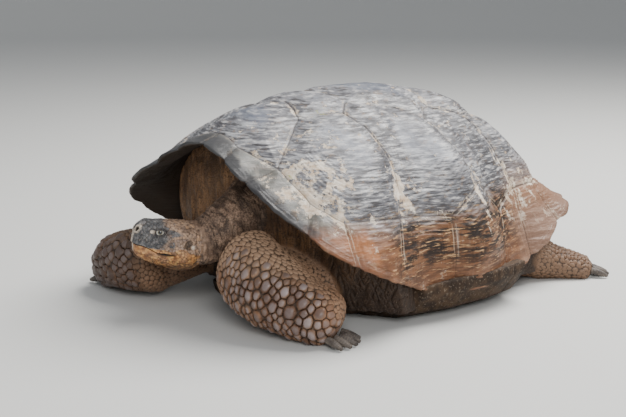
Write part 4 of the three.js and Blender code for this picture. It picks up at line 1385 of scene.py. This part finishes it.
# %% Eyes
def eyeball(side):
    """A ball whose rings run round the direction of its look."""
    look = EYE_LOOK * (side, 1, 1)
    up = unit(np.cross(np.cross(look, [0, 0, 1]), look))
    across = np.cross(look, up)
    polar = np.concatenate([np.linspace(0.5, 60, 40), np.linspace(63, 179, 24)])
    turn = once_round(96)[:, None]
    round_it = across * np.cos(turn) + up * np.sin(turn)
    rings = []
    for a in np.radians(polar):
        radius = EYE_RADIUS * (1 + 0.03 * bell(a, 0.45, 4))
        rings.append(radius * (look * math.cos(a) + round_it * math.sin(a)))
    points, faces = closed_rings(np.array(rings) + EYE_AT * (side, 1, 1))
    eye = solid("eyeball", from_head(points), faces)
    carry(eye, {"polar": np.concatenate([np.repeat(polar, 96), [0, 180]])})
    return eye


eyes = {"left": eyeball(1), "right": eyeball(-1)}
for name, eye in eyes.items():
    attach(eye, "root")
    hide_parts("eye_" + name)
    print("eye", name, "faces:", len(eye.data.polygons))

# %% Claws, in millimetres
CLAW = {"length": 26, "thick": 9, "lift": 14, "pitch": 21, "fan": math.radians(8)}
# Middle of each foot, the way it points, how far out its claws stand, and how many there are.
FEET = {
    "foreleg_left": ((350, -408), math.radians(22), 58, 5),
    "foreleg_right": ((-388, -475), math.radians(172), 58, 5),
    "hindleg_left": ((366, 520), math.radians(50), 48, 4),
    "hindleg_right": ((-366, 520), math.radians(130), 48, 4),
}


def claw(name, index):
    """One claw of a foot, on an arc round its front."""
    at, heading, reach, count = FEET[name]
    place = index - (count - 1) / 2
    offset = place * CLAW["pitch"]
    ahead = reach - offset**2 / (2.2 * reach)
    root_x = at[0] + ahead * math.cos(heading) - offset * math.sin(heading)
    root_y = at[1] + ahead * math.sin(heading) + offset * math.cos(heading)
    angle = heading + place * CLAW["fan"]

    def station(distance, z, wide, high):
        x, y = root_x + distance * math.cos(angle), root_y + distance * math.sin(angle)
        return (x, y, z, CLAW["thick"] * wide, CLAW["thick"] * high)

    lift = CLAW["lift"]
    line = Limb([station(-22, lift + 6, 1, 0.9), station(0, lift, 1, 0.9),
                 station(CLAW["length"] - 8, lift - 6, 0.5, 0.5)], roundness=(0.3, 0.9))
    made = line.body(f"horn_{name}_{index + 1}", 40, 44)
    points = points_of(made)
    t, turn, _ = line.address(points)
    ridge = 0.00035 * np.sin(turn * 9 + 2 * noise(points, 0.012, 60)) * ease(0, 0.3, t)
    growth = 0.0003 * np.sin(t * 46 + 2.5 * noise(points, 0.01, 61))
    points += normals_of(made) * (ridge + growth + 0.0005 * noise(points, 0.006, 62))[:, None]
    points[:, 2] = np.maximum(points[:, 2], 0)
    set_points(made, points)
    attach(made, "root")
    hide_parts(f"claw_{name}_{index + 1}")
    return made


claws = [claw(name, index) for name, foot in FEET.items() for index in range(foot[3])]
print("claws:", len(claws))

# %% Belly plate
# Stations: y, half width of the flat part, half width in all, height of the edge, in mm.
BELLY = [(-345, 92, 112, 30), (-325, 150, 172, 30), (-260, 185, 214, 30), (-205, 215, 262, 31),
         (-150, 318, 412, 96), (-40, 345, 436, 104), (90, 350, 440, 104), (200, 328, 424, 104),
         (262, 225, 275, 31), (330, 196, 222, 30), (400, 160, 182, 30), (425, 95, 115, 30)]
BELLY_THICK, LIP = 30.0, 26
BELLY_SEAMS = [-262, -178, -50, 178, 312]


def belly_plate():
    """Sections of the belly plate between its stations, each a closed ring."""
    at, *measures = np.array(BELLY, float).T
    y = np.unique(np.concatenate([np.linspace(at[0], at[-1], 260), at]))
    flat, wing, rise = (np.interp(y, at, measure) for measure in measures)
    lip = wing - LIP
    inner = np.minimum(mix(flat, lip, 0.5), lip - 15)
    # The corners of one side's section, from the flat underside round to the upper face.
    across = np.array([flat, mix(flat, wing, 0.55), wing, wing, lip, inner])
    up = np.array([0 * rise, rise * 0.22, rise * 0.75, rise, rise, 0 * rise + BELLY_THICK])
    corners = np.stack([np.concatenate([across, -across[::-1]]), np.tile(y, (12, 1)),
                        np.concatenate([up, up[::-1]])], -1)
    after = np.roll(corners, -1, 0)
    parts = [14, 9, 3, 6, 6, 20, 6, 6, 3, 9, 14, 60]            # points between the corners
    rings = [mix(corners[i], after[i], k / n) for i, n in enumerate(parts) for k in range(n)]
    rings = np.stack(rings, 1) / 1000
    middle = [(0, rings[end][0, 1], BELLY_THICK / 2000) for end in (0, -1)]
    made = solid("belly_plate", *closed_rings(rings, *middle))
    points = points_of(made)
    waved = points[:, 1] * 1000 + 5 * noise(points, 0.09, 71) + np.abs(points[:, 0]) * 60
    seam = np.min(np.abs(waved[:, None] - np.array(BELLY_SEAMS)), 1)
    seam = np.minimum(seam, np.abs(points[:, 0] * 1000))
    cut = 0.0016 * bell(seam, 2.2) + 0.0007 * np.maximum(0, fractal(points, 0.05, 3, 72))
    points -= normals_of(made) * cut[:, None]
    set_points(made, points)
    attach(made, "root")
    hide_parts("plastron")
    return made


belly = belly_plate()
print("belly faces:", len(belly.data.polygons))

# %% [markdown]
# ## Skin, claws, belly plate and eyes
# The skin is brown, darker between the scales and in its folds, partly as painted shade,
# with grey-mauve middles on the biggest ones, partly lightened as painted highlights. Leg
# tops are lightened as painted light, and the low wall, the throat and the hollows of the
# head are darkened as painted shade. The snout is slate grey, the jaws rust and yellow, the
# neck and the hanging folds warmer. One could paint these borders, but the zones were
# already worked out on the mesh while its relief was laid, so the finish only mixes its
# colours by them, and each border follows the scales.

# %% Hide: its patterns, and the brown of body and legs
hide = Finish("skin", Specular_IOR_Level=0.35)
cloud, fleck, grit = (
    hide.spots(*sizes) for sizes in ((0.09, 4.0, 0.55), (0.014, 4.0, 0.6), (0.004, 3.0, 0.6)))
# The numbers on the mesh, in the order in which they were laid.
dome, size, tone, neck, wall, leg, face, grey, tan, pale, recess_shade, crease = map(hide.number, laid)
big, small = size.band(0.75, 1.15) * leg, size.band(0.85, 0.55) * leg
mottle = fleck.band(0.35, 0.65)

brown = hide.painted(
    hide.blend(cloud.band(0.35, 0.65), (0.09, 0.043, 0.024), (0.21, 0.106, 0.056)),
    (fleck.band(0.5, 0.72) * 0.5, (0.24, 0.155, 0.10)),
    (tone.band(0.4, 1.0) * 0.4 * leg, (0.27, 0.165, 0.10)),
    (small * (0.25 + fleck * 0.5), (0.34, 0.205, 0.125)),
    # painted light: the legs lighter on top, where the light from above falls
    (leg * hide.z.band(0.12, 0.19) * 0.45, (0.42, 0.28, 0.18)),
)
# Grey-mauve middles of the big scales; their light end also stands in for highlights on the scale
# tops, as painted highlight.
mauve = hide.blend(tone, (0.115, 0.080, 0.070), (0.33, 0.275, 0.275))
warm = hide.blend(cloud.band(0.3, 0.7), (0.16, 0.080, 0.034), (0.34, 0.185, 0.082))
# The right foreleg and the hind legs lie in the wet and are darker, partly as painted shade.
damp_and_shade = hide.x.band(-0.12, -0.24) * hide.y.band(0.0, -0.1) + hide.y.band(0.28, 0.42) * 0.75
body = hide.painted(
    brown,
    (big * dome.band(0.5, 0.9) * (0.5 + fleck * 0.5), mauve),
    (wall * 0.7, warm),
    # painted shade: the skin wall darker towards the bottom, under the shell's edge
    (wall * hide.z.band(0.22, 0.08) * 0.92, (0.020, 0.011, 0.007)),
    (leg * damp_and_shade * 0.55, (0.030, 0.019, 0.013)),
    (neck * 0.7, hide.blend(mottle, (0.15, 0.10, 0.072), (0.36, 0.245, 0.17))),
)

# %% Hide of the head
dark = hide.painted(
    hide.blend(fleck.band(0.4, 0.7), (0.050, 0.052, 0.056), (0.155, 0.152, 0.15)),
    (tone.band(0.6, 0.95) * 0.4, (0.27, 0.25, 0.245)),
    # painted highlights: small pale flecks for glints on the scales
    (grit.band(0.55, 0.7) * 0.35, (0.42, 0.36, 0.32)),
)
rust = hide.painted(
    hide.blend(mottle, (0.21, 0.080, 0.028), (0.58, 0.26, 0.078)),
    (tone.band(0.6, 1.0) * 0.6, (0.70, 0.43, 0.15)),
    (tone.band(0.3, 0.0) * 0.6, (0.10, 0.06, 0.03)),
)
skull = hide.painted(
    hide.blend(mottle, (0.23, 0.150, 0.103), (0.47, 0.315, 0.215)),
    (tone.band(0.55, 1.0) * 0.6, (0.58, 0.35, 0.20)),
    (tone.band(0.3, 0.0) * 0.6, (0.17, 0.13, 0.12)),
    # painted highlights: small pinkish-white flecks for glints on the scales
    (grit.band(0.56, 0.7) * 0.3, (0.62, 0.50, 0.44)),
    (grey, dark),
    (tan, rust),
    # painted shade: darker low on the head, under the jaws
    (hide.z.band(0.150, 0.122) * (1.0 - grey) * 0.6, (0.030, 0.018, 0.010)),
    (pale, hide.blend(fleck, (0.55, 0.44, 0.32), (0.76, 0.67, 0.58))),
)

# %% Gaps between the scales and folds, darkened partly as painted shade, and the whole hide
color = hide.painted(
    body,
    (face, skull),
    # the skin between the scales darker, made darker still as painted shade
    (dome.band(0.48, 0.06) * (0.68 + leg * 0.18), (0.022, 0.013, 0.009)),
    # painted shade in the folds, and the darker eyelids
    (crease * 0.7, (0.022, 0.013, 0.009)),
    (grit.band(0.58, 0.72) * 0.25, (0.33, 0.25, 0.18)),
    # painted shade in the mouth, nostrils, eye openings and ear drums
    (recess_shade, (0.008, 0.006, 0.005)),
)
hide.finish([skin], color, 0.50 + fleck * 0.2 - big * 0.24, hide.bump(grit, 0.35, 0.0008))


# %% Claws, belly plate and eyes
def plain_horn(pieces, name, dark, light, rough):
    horn = Finish(name, Specular_IOR_Level=0.3)
    cloud, fleck = horn.spots(0.03, 4.0, 0.55), horn.spots(0.006, 3.0, 0.6)
    color = horn.blend(cloud.band(0.35, 0.65), dark, light)
    color = horn.blend(fleck.band(0.55, 0.7) * 0.4, color, (0.3, 0.24, 0.18))
    horn.finish(pieces, color, fleck * 0.15 + rough)


def wet_eye(pieces):
    """Pupil, iris, the white round it and the dark edge, by degrees from the look."""
    eye = Finish("eye", Specular_IOR_Level=0.7)
    polar = eye.number("polar")
    color = eye.painted(
        (0.004, 0.004, 0.005),
        (polar.band(16.5, 19.0), (0.20, 0.17, 0.11)),
        (polar.band(22.0, 26.0), (0.42, 0.40, 0.36)),
        (polar.band(35.0, 42.0), (0.06, 0.045, 0.036)),
    )
    eye.finish(pieces, color, 0.08)


plain_horn(claws, "claw_horn", (0.05, 0.04, 0.035), (0.12, 0.1, 0.085), 0.42)
plain_horn([belly], "belly_horn", (0.020, 0.011, 0.006), (0.060, 0.034, 0.018), 0.72)
wet_eye(list(eyes.values()))

# %% [markdown]
# ## Floor, light and camera
# A museum piece is shown on a plain pale floor, here one that curves up far away so
# that no horizon shows. The light is one broad soft lamp high up and behind, which gives
# the wet shell its sheen, a smaller one from the front, which reaches the legs and the
# face, and a pale surround. A lamp for each part would show more detail, but few lamps
# keep the shadows simple and the round form easy to read.

# %% Stage
def pale_cove():
    """A flat floor that curves up into a round wall far behind."""
    sides, curve = 96, 4.0
    turn = once_round(sides)
    bend = np.radians(np.linspace(0, 80, 17))
    curved = zip(9 + curve * np.sin(bend), curve - curve * np.cos(bend))
    profile = [(0.5, 0.0), (3.0, 0.0), (7.0, 0.0), *curved]
    ring = np.stack([np.cos(turn), np.sin(turn), 0 * turn], -1)
    points = np.concatenate([*(r * ring + (0, 0, z) for r, z in profile), [(0, 0, 0)]])
    k = np.arange(sides)
    middle = np.stack([np.full(sides, len(points) - 1), (k + 1) % sides, k], -1)
    floor = make_mesh("floor", points, [ring_faces(len(profile), sides)[:, ::-1], middle])
    Finish("plain_floor").finish([floor], (0.62, 0.62, 0.60), 0.9)


def soft_lamp(name, place, aim, size, power, color=(1, 1, 1)):
    lamp = bpy.data.objects.new(name, bpy.data.lights.new(name, "AREA"))
    lamp.data.shape, lamp.data.size, lamp.data.energy, lamp.data.color = "DISK", size, power, color
    lamp.location = place
    lamp.rotation_mode = "QUATERNION"
    lamp.rotation_quaternion = (Vector(aim) - Vector(place)).to_track_quat("-Z", "Y")
    bpy.context.scene.collection.objects.link(lamp)


# The camera: degrees round from the front and up, what it looks at and from how far, in
# metres, and its sensor and lens in millimetres.
AZIMUTH, ELEVATION = math.radians(48.184), math.radians(11.647)
TARGET, DISTANCE = Vector((-0.038, -0.098, 0.207)), 3.373
SENSOR = 36.0
LENS = 1300 / 626 * SENSOR


def stage_camera():
    data = bpy.data.cameras.new("camera")
    camera = bpy.data.objects.new("camera", data)
    flat = math.cos(ELEVATION)
    back = Vector((math.sin(AZIMUTH) * flat, -math.cos(AZIMUTH) * flat, math.sin(ELEVATION)))
    camera.location = TARGET + back * DISTANCE
    camera.rotation_mode = "QUATERNION"
    camera.rotation_quaternion = (-back).to_track_quat("-Z", "Y")
    data.sensor_width, data.lens = SENSOR, LENS
    bpy.context.scene.collection.objects.link(camera)
    bpy.context.scene.camera = camera


def pale_surround():
    world = bpy.data.worlds.new("surround")
    world.use_nodes = True
    sky = world.node_tree.nodes["Background"].inputs
    sky["Color"].default_value, sky["Strength"].default_value = (0.86, 0.90, 0.96, 1), 0.42
    bpy.context.scene.world = world


pale_cove()
soft_lamp("sky_lamp", (0.5, 2.1, 3.9), (0, 0, 0.2), 4.0, 460, (1.0, 0.98, 0.95))
soft_lamp("front_lamp", (3.4, -2.6, 2.1), (0, -0.3, 0.2), 2.0, 120)
pale_surround()
stage_camera()
print("camera at", tuple(round(n, 3) for n in bpy.context.scene.camera.location))
